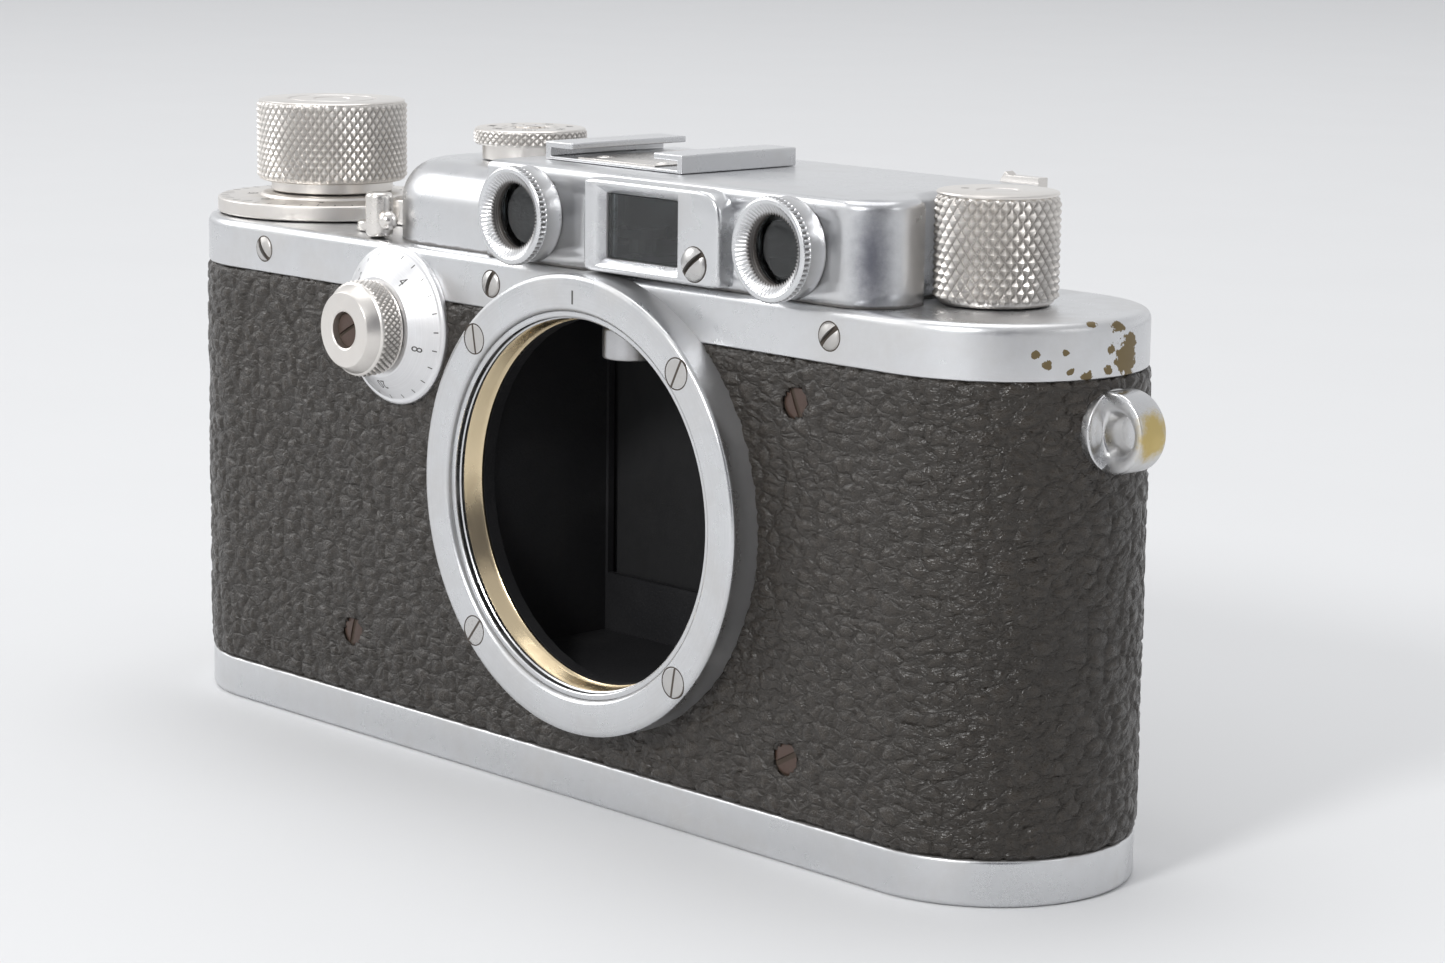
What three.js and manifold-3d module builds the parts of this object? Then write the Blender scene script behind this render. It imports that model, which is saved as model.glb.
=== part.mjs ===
// Rangefinder camera body, screw lens mount, shown without a lens.
// Millimetres. Origin at the middle of the underside, X along the body, front towards -Y, Z up.
import * as THREE from 'three';
import { mergeVertices } from 'three/addons/utils/BufferGeometryUtils.js';
import Module from 'manifold-3d';

const wasm = await Module();
wasm.setup();

// ---- overall sizes -------------------------------------------------------
const LENGTH = 133.1, DEPTH = 29.1, R_END = DEPTH / 2, X_END = LENGTH / 2 - R_END;
const Z_BASE = 4.7, Z_LEATHER = 50.2, Z_DECK = 55.6;
const R_SHELL = R_END - 0.55, R_STEP = 13.4, R_INNER = 12.6;
const DECK_T = 0.9, DECK_ROUND = 1.1;
// ---- lens mount ----------------------------------------------------------
const LENS_X = 10.83, LENS_Z = 32.05, RING_R = 23.7, RING_FRONT = -18.15;
const THREAD_R = 19.25, SLEEVE_R = 19.95, THROAT_R = 18.84, RING_SCREW_R = 21.9;
const GATE_W = 36, GATE_H = 24;
// ---- finder housing ------------------------------------------------------
const HOUSE_TOP = 65.8, HOUSE_FRONT = -13.9, HOUSE_BACK = 12.7, HOUSE_LEFT = -7.6, HOUSE_RIGHT = 49.2;
const WALL = 0.9, STEP_TOP = 64.3, STEP_LEFT = -30.5, STEP_HALF = 12.75, STEP_ROUND = 4.4;
const WINDOW_Z = 60.6, WINDOW_L = -0.7, WINDOW_R = 37.5, FINDER_X = 17.9, FINDER_Z = 60.7;
const FINDER_W = 10.6, FINDER_H = 6.6;
// ---- controls ------------------------------------------------------------
const WIND_X = -52.5, WIND_R = 8.67, WIND_Z0 = 59.4, WIND_Z1 = 68.7;
const REWIND_X = 51.6, REWIND_R = 6.1, REWIND_Z0 = 55.7, REWIND_Z1 = 66.5;
const SPEED_X = -17.1, SPEED_R = 6.2, SPEED_Z0 = 66.0, SPEED_Z1 = 67.8;
const RELEASE_X = -35.4, COUNTER_R = 13.2, SPINDLE_R = 1.9, RUN = 0.08;
const SLOW_X = -21.8, SLOW_Z = 46.9, SLOW_R = 8.65, SLOW_KNOB_R = 5.2;
const LUG_Z = 45.3, LUG_R = 3.95;
const GAP = 0.05;
const FINE = 0.62;
const facets = (n) => 4 * Math.round((n * FINE) / 4);

// ---- finishes ------------------------------------------------------------
const finish = (colour, roughness, metalness) =>
  new THREE.MeshStandardMaterial({ color: colour, roughness, metalness });
const CHROME = finish(0xc9ccd0, 0.34, 1.0);
const NICKEL = finish(0xbdb6ad, 0.3, 1.0);
const STEEL = finish(0x9a9a98, 0.4, 1.0);
const BRASS = finish(0xb08d4f, 0.38, 1.0);
const BLACK = finish(0x0c0c0d, 0.75, 0.1);
const LEATHER = finish(0x35312d, 0.62, 0.0);
const CLOTH = finish(0x141414, 0.9, 0.0);
const RUST = finish(0x4d3427, 0.6, 0.6);
const GLASS = finish(0x5a6062, 0.08, 0.0);

// ---- solids --------------------------------------------------------------
/** Welded, outward-facing solid from a closed geometry. */
function solid(geometry) {
  const bare = geometry.clone();
  bare.deleteAttribute('normal');
  bare.deleteAttribute('uv');
  const g = mergeVertices(bare, 1e-5);
  const p = g.attributes.position.array, raw = g.index.array, tri = [];
  for (let k = 0; k < raw.length; k += 3) {
    const [a, b, c] = [raw[k], raw[k + 1], raw[k + 2]];
    if (a !== b && b !== c && c !== a) tri.push(a, b, c);
  }
  if (signedVolume(p, tri) < 0) {
    for (let k = 0; k < tri.length; k += 3) [tri[k], tri[k + 1]] = [tri[k + 1], tri[k]];
  }
  return new wasm.Manifold(new wasm.Mesh({
    numProp: 3, vertProperties: Float32Array.from(p), triVerts: Uint32Array.from(tri),
  }));
}

function signedVolume(p, tri) {
  let v = 0;
  for (let k = 0; k < tri.length; k += 3) {
    const [a, b, c] = [tri[k] * 3, tri[k + 1] * 3, tri[k + 2] * 3];
    v += p[a] * (p[b + 1] * p[c + 2] - p[b + 2] * p[c + 1])
      - p[a + 1] * (p[b] * p[c + 2] - p[b + 2] * p[c])
      + p[a + 2] * (p[b] * p[c + 1] - p[b + 1] * p[c]);
  }
  return v;
}

const minus = (a, ...cuts) => cuts.reduce((s, c) => s.subtract(c), a);
const plus = (a, ...more) => more.reduce((s, c) => s.add(c), a);

/** Box from two corners. */
function block(x0, x1, y0, y1, z0, z1) {
  const g = new THREE.BoxGeometry(x1 - x0, y1 - y0, z1 - z0);
  g.translate((x0 + x1) / 2, (y0 + y1) / 2, (z0 + z1) / 2);
  return solid(g);
}

/** Upright cylinder or cone between two heights. */
function post(x, y, r, z0, z1, n = 32, rTop = r) {
  const g = new THREE.CylinderGeometry(rTop, r, z1 - z0, facets(n));
  g.rotateX(Math.PI / 2);
  g.translate(x, y, (z0 + z1) / 2);
  return solid(g);
}

/** Cylinder along Y between two depths. */
function bore(x, z, r, y0, y1, n = 32, rBack = r) {
  const g = new THREE.CylinderGeometry(rBack, r, y1 - y0, facets(n));
  g.translate(x, (y0 + y1) / 2, z);
  return solid(g);
}

/** Cylinder along X. */
function axle(y, z, r, x0, x1, n = 32) {
  const g = new THREE.CylinderGeometry(r, r, x1 - x0, facets(n));
  g.rotateZ(Math.PI / 2);
  g.translate((x0 + x1) / 2, y, z);
  return solid(g);
}

/** Turned part: profile of [radius, height] pairs, closed, about an upright axis at x, y. */
function turned(profile, x, y, n = 48) {
  const g = new THREE.LatheGeometry([...profile, profile[0]].map(([r, h]) => new THREE.Vector2(r, h)),
    facets(n));
  g.rotateX(Math.PI / 2);
  g.translate(x, y, 0);
  return solid(g);
}

/** Turned part about a front-to-back axis: profile of [radius, y] pairs, closed. */
function turnedFront(profile, x, z, n = 48) {
  const g = new THREE.LatheGeometry([...profile, profile[0]].map(([r, h]) => new THREE.Vector2(r, h)),
    facets(n));
  g.translate(x, 0, z);
  return solid(g);
}

/** Straight extrusion upwards of an XY outline. */
function slab(shape, z0, z1, curveSegments = 9) {
  const g = new THREE.ExtrudeGeometry(shape, { depth: z1 - z0, bevelEnabled: false, curveSegments });
  g.translate(0, 0, z0);
  return solid(g);
}

/** Extrusion with both rims rounded, staying inside the outline. */
function pillow(shape, z0, z1, round, steps, curveSegments = 9) {
  const g = new THREE.ExtrudeGeometry(shape, {
    depth: z1 - z0 - 2 * round, bevelEnabled: true, bevelThickness: round, bevelSize: round,
    bevelOffset: -round, bevelSegments: steps, curveSegments,
  });
  g.translate(0, 0, z0 + round);
  return solid(g);
}

/** Extrusion front to back of an XZ outline. */
function plate(shape, yFront, yBack, curveSegments = 12) {
  const g = new THREE.ExtrudeGeometry(shape, { depth: yBack - yFront, bevelEnabled: false, curveSegments });
  g.rotateX(Math.PI / 2);
  g.translate(0, yBack, 0);
  return solid(g);
}

/** Round-ended outline of the body with end radius r. */
function stadium(r, xEnd = X_END) {
  const s = new THREE.Shape();
  s.moveTo(-xEnd, -r);
  s.lineTo(xEnd, -r);
  s.absarc(xEnd, 0, r, -Math.PI / 2, Math.PI / 2, false);
  s.lineTo(-xEnd, r);
  s.absarc(-xEnd, 0, r, Math.PI / 2, 1.5 * Math.PI, false);
  return s;
}

/** Rectangle outline with one radius per corner: lower left, lower right, upper right, upper left. */
function roundedRect(x0, x1, y0, y1, [a, b, c, d]) {
  const s = new THREE.Shape();
  s.moveTo(x0 + a, y0);
  s.lineTo(x1 - b, y0);
  if (b) s.absarc(x1 - b, y0 + b, b, -Math.PI / 2, 0, false);
  s.lineTo(x1, y1 - c);
  if (c) s.absarc(x1 - c, y1 - c, c, 0, Math.PI / 2, false);
  s.lineTo(x0 + d, y1);
  if (d) s.absarc(x0 + d, y1 - d, d, Math.PI / 2, Math.PI, false);
  s.lineTo(x0, y0 + a);
  if (a) s.absarc(x0 + a, y0 + a, a, Math.PI, 1.5 * Math.PI, false);
  return s;
}

/**
 * Diamond-knurled drum: peaks and valleys alternate like a chequerboard, so straight valleys
 * cross at an angle and leave four-sided points.
 */
function knurled(x, y, r, z0, z1, teeth, rows, depth, rim = 0.25) {
  const cols = teeth * 2, pos = [], idx = [];
  const ring = (rr, z, peaks, row) => {
    for (let i = 0; i < cols; i++) {
      const a = (i / cols) * 2 * Math.PI;
      const q = peaks && (i + row) % 2 === 0 ? rr : rr - depth;
      pos.push(x + q * Math.cos(a), y + q * Math.sin(a), z);
    }
  };
  ring(r, z0, false, 0);
  for (let j = 0; j <= rows; j++) ring(r, z0 + rim + ((z1 - z0 - 2 * rim) * j) / rows, true, j);
  ring(r, z1, false, 0);
  const rings = rows + 3;
  for (let j = 0; j < rings - 1; j++) {
    for (let i = 0; i < cols; i++) {
      const n = (i + 1) % cols, a = j * cols + i, b = j * cols + n, c = a + cols, d = b + cols;
      if ((i + j) % 2 === 0) idx.push(a, b, c, b, d, c);
      else idx.push(a, b, d, a, d, c);
    }
  }
  const bottom = pos.length / 3, top = bottom + 1, last = (rings - 1) * cols;
  pos.push(x, y, z0, x, y, z1);
  for (let i = 0; i < cols; i++) {
    const n = (i + 1) % cols;
    idx.push(bottom, n, i, top, last + i, last + n);
  }
  const g = new THREE.BufferGeometry();
  g.setAttribute('position', new THREE.Float32BufferAttribute(pos, 3));
  g.setIndex(idx);
  return solid(g);
}

/** Coin-edged drum along Y: straight fine teeth round the rim. */
function coinEdged(x, z, r, y0, y1, teeth, depth) {
  const s = new THREE.Shape();
  for (let i = 0; i < teeth * 2; i++) {
    const a = (i / (teeth * 2)) * 2 * Math.PI, q = i % 2 ? r : r - depth;
    s[i ? 'lineTo' : 'moveTo'](x + q * Math.cos(a), z + q * Math.sin(a));
  }
  return plate(s, y0, y1);
}

const root = new THREE.Group();
root.name = 'rangefinder_camera';

/** Put a finished solid in the group as a named mesh. */
function add(name, body, material) {
  const m = body.getMesh();
  const g = new THREE.BufferGeometry();
  g.setAttribute('position', new THREE.BufferAttribute(Float32Array.from(m.vertProperties), 3));
  g.setIndex(new THREE.BufferAttribute(Uint32Array.from(m.triVerts), 1));
  g.computeVertexNormals();
  const mesh = new THREE.Mesh(g, material);
  mesh.name = name;
  root.add(mesh);
}

// ---- fasteners -----------------------------------------------------------
/** Slotted screw facing the front: head from yHead back to yFoot, shank behind it. */
function frontScrew(x, z, r, yHead, yFoot, shank, slotTurn, dome = 0) {
  const profile = [[0, yHead], [r * 0.62, yHead + dome * 0.3], [r, yHead + dome + 0.08], [r, yFoot],
    [0.75, yFoot], [0.75, yFoot + shank], [0, yFoot + shank]];
  const slot = new THREE.BoxGeometry(2 * r + 1, 0.8, 0.36);
  slot.rotateY(slotTurn);
  slot.translate(x, yHead, z);
  return minus(turnedFront(profile, x, z, 20), solid(slot));
}

/** Drilling for the shank of a front screw. */
const screwHole = (x, z, y0, y1) => bore(x, z, 0.85, y0, y1, 12);

const SKIRT_SCREWS = [[43.75, 52.85], [-6.25, 52.85], [-46.0, 52.85]];
const BODY_SCREWS = [[39.2, 45.9], [38.6, 10.6], [-30.3, 11.6]];
const ringScrewAt = (k) => {
  const a = Math.PI / 4 + (k * Math.PI) / 2;
  return [LENS_X + RING_SCREW_R * Math.cos(a), LENS_Z + RING_SCREW_R * Math.sin(a)];
};

// ---- body ----------------------------------------------------------------
const Z_SHELL_TOP = 54.4, Z_SHELL_BOTTOM = 1.3;

/** Tube with stepped ends that carries the leather and locates the top and base plates. */
function bodyShell() {
  const outer = plus(
    slab(stadium(R_STEP), Z_SHELL_BOTTOM, Z_SHELL_TOP),
    slab(stadium(R_SHELL), Z_BASE + 0.1, Z_LEATHER - 0.1),
  );
  const cuts = [
    slab(stadium(R_INNER), 0, 60),
    bore(LENS_X, LENS_Z, THROAT_R, -16, -10, 72),
    bore(SLOW_X, SLOW_Z, 2.3, -16, -10, 24),
    ...BODY_SCREWS.map(([x, z]) => screwHole(x, z, -16, -10)),
    ...SKIRT_SCREWS.map(([x, z]) => screwHole(x, z, -16, -10)),
    ...[0, 1, 2, 3].map((k) => screwHole(...ringScrewAt(k), -16, -10)),
    ...[1, -1].map((s) => axle(0, LUG_Z, LUG_R + 0.1, s > 0 ? 65.35 : -70, s > 0 ? 70 : -65.35, 36)),
    ...[1, -1].map((s) => axle(0, LUG_Z, 1.3, s > 0 ? 60 : -70, s > 0 ? 70 : -60, 16)),
  ];
  return minus(outer, ...cuts);
}

/** Thin wrap between the base plate and the top plate. */
function leatherCovering() {
  const wrap = minus(
    slab(stadium(R_END), Z_BASE + 0.1, Z_LEATHER - 0.1),
    slab(stadium(R_SHELL + GAP), 0, 60),
  );
  return minus(
    wrap,
    bore(LENS_X, LENS_Z, RING_R + 0.08, -16, -10, 88),
    bore(SLOW_X, SLOW_Z, SLOW_R + 0.08, -16, -10, 48),
    ...BODY_SCREWS.map(([x, z]) => bore(x, z, 1.78, -16, -10, 24)),
    ...[1, -1].map((s) => axle(0, LUG_Z, LUG_R + 0.12, s > 0 ? 60 : -70, s > 0 ? 70 : -60, 36)),
  );
}

/** Flat deck with a rounded rim and a shallow skirt. */
function topPlate() {
  const cap = pillow(stadium(R_END), Z_LEATHER - 3, Z_DECK, DECK_ROUND, 2);
  return minus(
    cap,
    block(-70, 70, -20, 20, 40, Z_LEATHER),
    slab(stadium(R_STEP + 0.15), 40, Z_DECK - DECK_T),
    bore(LENS_X, LENS_Z, SLEEVE_R + 0.15, -16, -13, 72),
    ...SKIRT_SCREWS.map(([x, z]) => screwHole(x, z, -16, -10)),
    ...[WIND_X, REWIND_X, RELEASE_X, SPEED_X].map((x) => post(x, 0, SPINDLE_R + RUN, 50, 60, 24)),
    post(WINDOW_L, 2, 1.5 + RUN, 50, 60, 20),
    post(LEVER_X, LEVER_Y, 0.8, 50, 60, 12),
  );
}

/** Shallow tray that lifts off for loading. */
function basePlate() {
  return minus(
    pillow(stadium(R_END), 0, Z_BASE + 4, 0.7, 2),
    block(-70, 70, -20, 20, Z_BASE, 20),
    slab(stadium(R_STEP + 0.25), 1.1, 20),
    post(KEY_X, 0, 7.2, -1, 5, 40),
    post(TRIPOD_X, 0, 6.4, -1, 5, 40),
  );
}

const KEY_X = 50.5, TRIPOD_X = -50.5;

/** Round lock key, flush with the underside, with a recess for its bail. */
function baseKey() {
  return minus(
    post(KEY_X, 0, 7.1, 0.05, 1.6, 40),
    block(KEY_X - 6.1, KEY_X + 6.1, -0.3, 5.0, -1, 0.85),
  );
}

/** Half-round wire handle lying in the key's recess. */
function baseBail() {
  const s = new THREE.Shape();
  s.moveTo(KEY_X - 5.9, 0);
  s.lineTo(KEY_X - 5.9, 0.6);
  s.absellipse(KEY_X, 0.6, 5.9, 4.0, Math.PI, 0, true);
  s.lineTo(KEY_X + 5.9, 0);
  s.lineTo(KEY_X + 4.9, 0);
  s.lineTo(KEY_X + 4.9, 0.6);
  s.absellipse(KEY_X, 0.6, 4.9, 3.0, 0, Math.PI, false);
  s.lineTo(KEY_X - 4.9, 0);
  return slab(s, 0.08, 0.78, 14);
}

/** Threaded bush for a tripod screw. */
function tripodSocket() {
  return turned([[3.2, 0.05], [6.3, 0.05], [6.3, 1.6], [5.0, 1.6], [5.0, 5.5], [0, 5.5], [0, 4.9],
    [3.2, 4.9]], TRIPOD_X, 0, 40);
}

// ---- lens mount ----------------------------------------------------------
function lensRing() {
  const back = -R_SHELL - GAP;
  const ring = turnedFront([[SLEEVE_R + 0.05, RING_FRONT + 0.25], [THREAD_R + 0.9, RING_FRONT],
    [RING_R - 0.6, RING_FRONT], [RING_R, RING_FRONT + 0.6], [RING_R, back],
    [SLEEVE_R + 0.05, back]], LENS_X, LENS_Z, 88);
  return minus(
    ring,
    block(-20, 40, -R_END - 0.08, -10, Z_LEATHER - 0.15, 60),
    ...[0, 1, 2, 3].map((k) => bore(...ringScrewAt(k), 1.66, -20, RING_FRONT + 0.9, 24)),
    ...[0, 1, 2, 3].map((k) => screwHole(...ringScrewAt(k), -20, -10)),
    block(LENS_X - 0.22, LENS_X + 0.22, -20, RING_FRONT + 0.15, LENS_Z + 20.7, LENS_Z + 22.1),
  );
}

/** Brass sleeve carrying the female lens thread, shown as shallow grooves. */
function threadSleeve() {
  const y0 = RING_FRONT + 0.5, y1 = -R_SHELL - GAP, pitch = 1.6, n = 2;
  const profile = [[THREAD_R, y0]];
  for (let k = 0; k < n; k++) {
    profile.push([THREAD_R + 0.3, y0 + pitch * (k + 0.4)], [THREAD_R, y0 + pitch * (k + 0.8)]);
  }
  return turnedFront([...profile, [THREAD_R, y1], [SLEEVE_R, y1], [SLEEVE_R, y0]], LENS_X, LENS_Z, 88);
}

/** Black tunnel from the lens opening back to the film gate. */
function lightBox() {
  const w = 19.0, h = 19.0, front = -R_INNER + 0.15;
  return minus(
    block(LENS_X - w - 0.7, LENS_X + w + 0.7, front, 4.2, LENS_Z - h - 0.6, LENS_Z + h + 0.5),
    block(LENS_X - w, LENS_X + w, front - 1, 3.4, LENS_Z - h, LENS_Z + h),
    block(LENS_X - GATE_W / 2 - 0.6, LENS_X + GATE_W / 2 + 0.6, 2, 6,
      LENS_Z - GATE_H / 2 - 0.6, LENS_Z + GATE_H / 2 + 0.6),
    block(5.5, 18.0, front - 1, -7.0, LENS_Z + h - 1, LENS_Z + h + 2),
  );
}

/** Plate behind the curtain with the picture opening and two film rails. */
function filmGate() {
  const gate = block(-8.6, 30.3, 5.7, 6.4, 15, 49);
  return minus(
    plus(gate, block(-8.6, 30.3, 6.3, 7.0, 17, 19), block(-8.6, 30.3, 6.3, 7.0, 45.2, 47.2)),
    block(LENS_X - GATE_W / 2, LENS_X + GATE_W / 2, 5, 8, LENS_Z - GATE_H / 2, LENS_Z + GATE_H / 2),
  );
}

function pressurePlate() {
  return minus(
    block(-7, 28.6, 8.0, 8.9, 14.5, 49.5),
    block(8, 14, 8.5, 9.5, 20, 44),
  );
}

/** Horizontal plate that carries the shafts at the top of the film chambers. */
function mechanismPlate() {
  return minus(
    slab(stadium(R_INNER - 0.1), 51.75, 52.75),
    block(5.5, 18.0, -20, -7.0, 50, 54),
    ...[WIND_X, REWIND_X, RELEASE_X, SPEED_X].map((x) => post(x, 0, SPINDLE_R + RUN, 50, 60, 24)),
  );
}

// ---- housing -------------------------------------------------------------
/** Plan of the finder housing; its right end is hollowed round the rewind knob. */
function housingPlan(inset) {
  const s = new THREE.Shape(), r = 7.3 + inset, x1 = HOUSE_RIGHT - inset;
  const y0 = HOUSE_FRONT + inset, y1 = HOUSE_BACK - inset, dy = (x) => Math.sqrt(r * r - (x - REWIND_X) ** 2);
  const xa = x1 - 0.9, a = Math.atan2(-dy(xa), xa - REWIND_X), b = Math.atan2(dy(xa), xa - REWIND_X);
  s.moveTo(HOUSE_LEFT + inset, y0);
  s.lineTo(x1 - 4.4, y0);
  s.quadraticCurveTo(x1 - 2.2, y0 + 0.3, x1 - 0.9, y0 + 2.4);
  s.quadraticCurveTo(x1 + 0.1, y0 + 4.2, xa, -dy(xa));
  s.absarc(REWIND_X, 0, r, a, b, true);
  s.quadraticCurveTo(x1 + 0.1, y1 - 3.6, x1 - 0.9, y1 - 2.0);
  s.quadraticCurveTo(x1 - 2.0, y1, x1 - 4.0, y1);
  s.lineTo(HOUSE_LEFT + inset, y1);
  return s;
}

const stepPlan = (inset) => {
  const r = 11 - inset;
  return roundedRect(STEP_LEFT + inset, HOUSE_LEFT + 6, -STEP_HALF + inset, STEP_HALF - inset,
    [r, 0, 0, r]);
};

/** Stamped cover over the rangefinder and the finder, hollow inside. */
function finderHousing() {
  const box = pillow(housingPlan(0), 40, HOUSE_TOP, 0.9, 2, 5);
  const step = pillow(stepPlan(0), 40, STEP_TOP, STEP_ROUND, 5, 6);
  const hollow = plus(
    slab(housingPlan(WALL), 40, HOUSE_TOP - WALL, 4),
    pillow(stepPlan(WALL), 40, STEP_TOP - WALL, STEP_ROUND - WALL, 2, 4),
  );
  return minus(
    plus(box, step),
    block(-70, 70, -20, 20, 30, Z_DECK + GAP),
    hollow,
    bore(WINDOW_L, WINDOW_Z, 3.6, -20, -10, 32),
    bore(WINDOW_R, WINDOW_Z, 3.6, -20, -10, 32),
    block(FINDER_X - 5.2, FINDER_X + 5.2, -20, -12, FINDER_Z - 3.2, FINDER_Z + 3.2),
    bore(FINDER_X, WINDOW_Z, 3.2, 10, 20, 32),
    bore(WINDOW_R, WINDOW_Z, 3.2, 10, 20, 32),
    post(SPEED_X, 0, SPINDLE_R + RUN, 60, 70, 24),
    screwHole(FINDER_X + 8.5, 58.1, -20, -10),
  );
}

/** Raised frame round the finder window. */
function finderPlate() {
  const x0 = 9.9, x1 = 29.8, z0 = 55.95, z1 = 65.4, y0 = -16.0, yb = HOUSE_FRONT - GAP;
  const shape = roundedRect(x0, x1, z0, z1, [0.6, 0.6, 2.6, 0.6]);
  const g = new THREE.ExtrudeGeometry(shape, {
    depth: yb - y0 - 0.5, bevelEnabled: true, bevelThickness: 0.5, bevelSize: 0.5, bevelOffset: -0.5,
    bevelSegments: 1, curveSegments: 3,
  });
  g.rotateX(Math.PI / 2);
  g.translate(0, yb, 0);
  const flare = new THREE.CylinderGeometry(Math.SQRT1_2, 0.8 * Math.SQRT1_2, 1, 4, 1);
  flare.rotateY(Math.PI / 4);
  flare.rotateX(Math.PI);
  flare.scale(FINDER_W + 1.8, 1.3, FINDER_H + 1.8);
  flare.translate(FINDER_X, y0 + 0.4, FINDER_Z);
  return minus(
    solid(g),
    block(0, 40, yb, -5, 50, 70),
    block(FINDER_X - FINDER_W / 2, FINDER_X + FINDER_W / 2, -20, -10, FINDER_Z - FINDER_H / 2,
      FINDER_Z + FINDER_H / 2),
    solid(flare),
    screwHole(FINDER_X + 8.5, 58.1, -20, -10),
  );
}

/** Window surround with a coin-edged rim and a chamfered mouth. */
function windowBezel(x) {
  const drum = plus(
    coinEdged(x, WINDOW_Z, 5.15, -16.75, -15.95, 40, 0.16),
    bore(x, WINDOW_Z, 4.95, -16.0, HOUSE_FRONT - GAP, 36),
    bore(x, WINDOW_Z, 4.75, -16.9, -16.7, 36),
  );
  return minus(drum, turnedFront([[0, -20], [4.45, -20], [4.45, -16.9], [3.74, -16.25], [3.5, -16.2],
    [3.5, -12], [0, -12]], x, WINDOW_Z, 36));
}

const windowGlass = (x) => turnedFront([[0, -15.25], [2.4, -15.2], [3.42, -15.0], [3.42, -14.2],
  [0, -14.2]], x, WINDOW_Z, 32);

/** Eyepiece tube at the back of the housing. */
function eyepiece(x, r, length) {
  const y = HOUSE_BACK + GAP;
  return turnedFront([[2.3, y - 1.8], [3.1, y - 1.8], [3.1, y], [r, y], [r, y + length - 0.3],
    [r - 0.3, y + length], [2.9, y + length], [2.3, y + length - 0.5]], x, WINDOW_Z, 28);
}

const eyeLens = (x) => turnedFront([[0, 11.3], [2.22, 11.3], [2.22, 12.2], [0, 12.4]], x, WINDOW_Z, 28);

/** Focus lever clasping the rangefinder eyepiece, with a finger tab above the housing edge. */
function diopterLever() {
  const ring = minus(bore(WINDOW_R, WINDOW_Z, 4.85, 13.0, 14.4, 40), bore(WINDOW_R, WINDOW_Z, 4.15, 12, 16, 40));
  const arm = new THREE.BoxGeometry(2.4, 1.4, 4.6);
  arm.translate(0, 13.7, 6.9);
  arm.rotateY(0.62);
  arm.translate(WINDOW_R, 0, WINDOW_Z);
  return plus(ring, solid(arm), block(40.6, 45.2, 12.95, 14.4, 65.2, 66.4));
}

/** Accessory shoe: base sheet with a raised seat between two turned-over rails. */
function accessoryShoe() {
  const z = HOUSE_TOP + GAP, y0 = -9.5, y1 = 6.5, c = 7.0, half = 10.5;
  const sheet = block(c - half, c + half, y0, y1, z, z + 0.35);
  const rail = (s) => plus(
    block(Math.min(c + s * half, c + s * (half - 0.8)), Math.max(c + s * half, c + s * (half - 0.8)),
      y0, y1, z, z + 1.9),
    block(Math.min(c + s * half, c + s * 6.2), Math.max(c + s * half, c + s * 6.2), y0, y1, z + 1.25, z + 1.9),
  );
  return plus(sheet, block(c - 5.9, c + 5.9, y0 + 0.5, y1 - 0.5, z + 0.3, z + 0.5), rail(1), rail(-1));
}

// ---- optics --------------------------------------------------------------
/** Upright three-sided prism. */
function prism(x, y, r, z0, z1, turn) {
  const g = new THREE.CylinderGeometry(r, r, z1 - z0, 3);
  g.rotateX(Math.PI / 2);
  g.rotateZ(turn);
  g.translate(x, y, (z0 + z1) / 2);
  return solid(g);
}

/** Thin half-silvered mirror standing at forty-five degrees. */
function halfMirror() {
  const g = new THREE.BoxGeometry(7.5, 0.6, 6);
  g.rotateZ(Math.PI / 4);
  g.translate(WINDOW_R, -3, WINDOW_Z);
  return solid(g);
}

/** Pivoting arm of the rangefinder: upright shaft, flat arm and a finger down to the roller. */
function couplingArm() {
  const px = WINDOW_L, py = 2, tip = [ROLLER_X, ROLLER_Y];
  const dx = tip[0] - px, dy = tip[1] - py, len = Math.hypot(dx, dy);
  const bar = new THREE.BoxGeometry(len, 3.0, 1.0);
  bar.rotateZ(Math.atan2(dy, dx));
  bar.translate((px + tip[0]) / 2, (py + tip[1]) / 2, 53.6);
  return plus(
    solid(bar),
    post(px, py, 1.5, 53.1, 57.3, 20),
    post(px, py, 2.6, 57.2, 58.2, 24),
    post(tip[0], tip[1], 1.6, 53.1, 54.1, 20),
    post(tip[0], tip[1], 1.2, 50.1, 53.4, 16),
  );
}

const ROLLER_X = 11.4, ROLLER_Y = -10.6;
const roller = () => turned([[0, 46.7], [2.6, 46.7], [3.0, 47.1], [3.0, 49.6], [2.6, 50.0], [0, 50.0]],
  ROLLER_X, ROLLER_Y, 32);

// ---- film transport ------------------------------------------------------
const flanged = (x, rCore, rFlange, z0, z1) => turned([[0, z0], [rFlange, z0], [rFlange, z0 + 1],
  [rCore, z0 + 1.2], [rCore, z1 - 1.2], [rFlange, z1 - 1], [rFlange, z1], [0, z1]], x, 0, 36);

/** Toothed film roller. */
function sprocket() {
  let s = post(RELEASE_X, 0, 3.6, 12, 49, 28);
  for (const z of [16.5, 45]) {
    s = plus(s, post(RELEASE_X, 0, 4.0, z - 1, z + 1, 28));
    for (let k = 0; k < 8; k++) {
      const g = new THREE.ConeGeometry(0.6, 1.0, 4);
      g.translate(0, 4.2, 0);
      g.rotateZ((k * Math.PI) / 4);
      g.translate(RELEASE_X, 0, z);
      s = plus(s, solid(g));
    }
  }
  return s;
}

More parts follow.
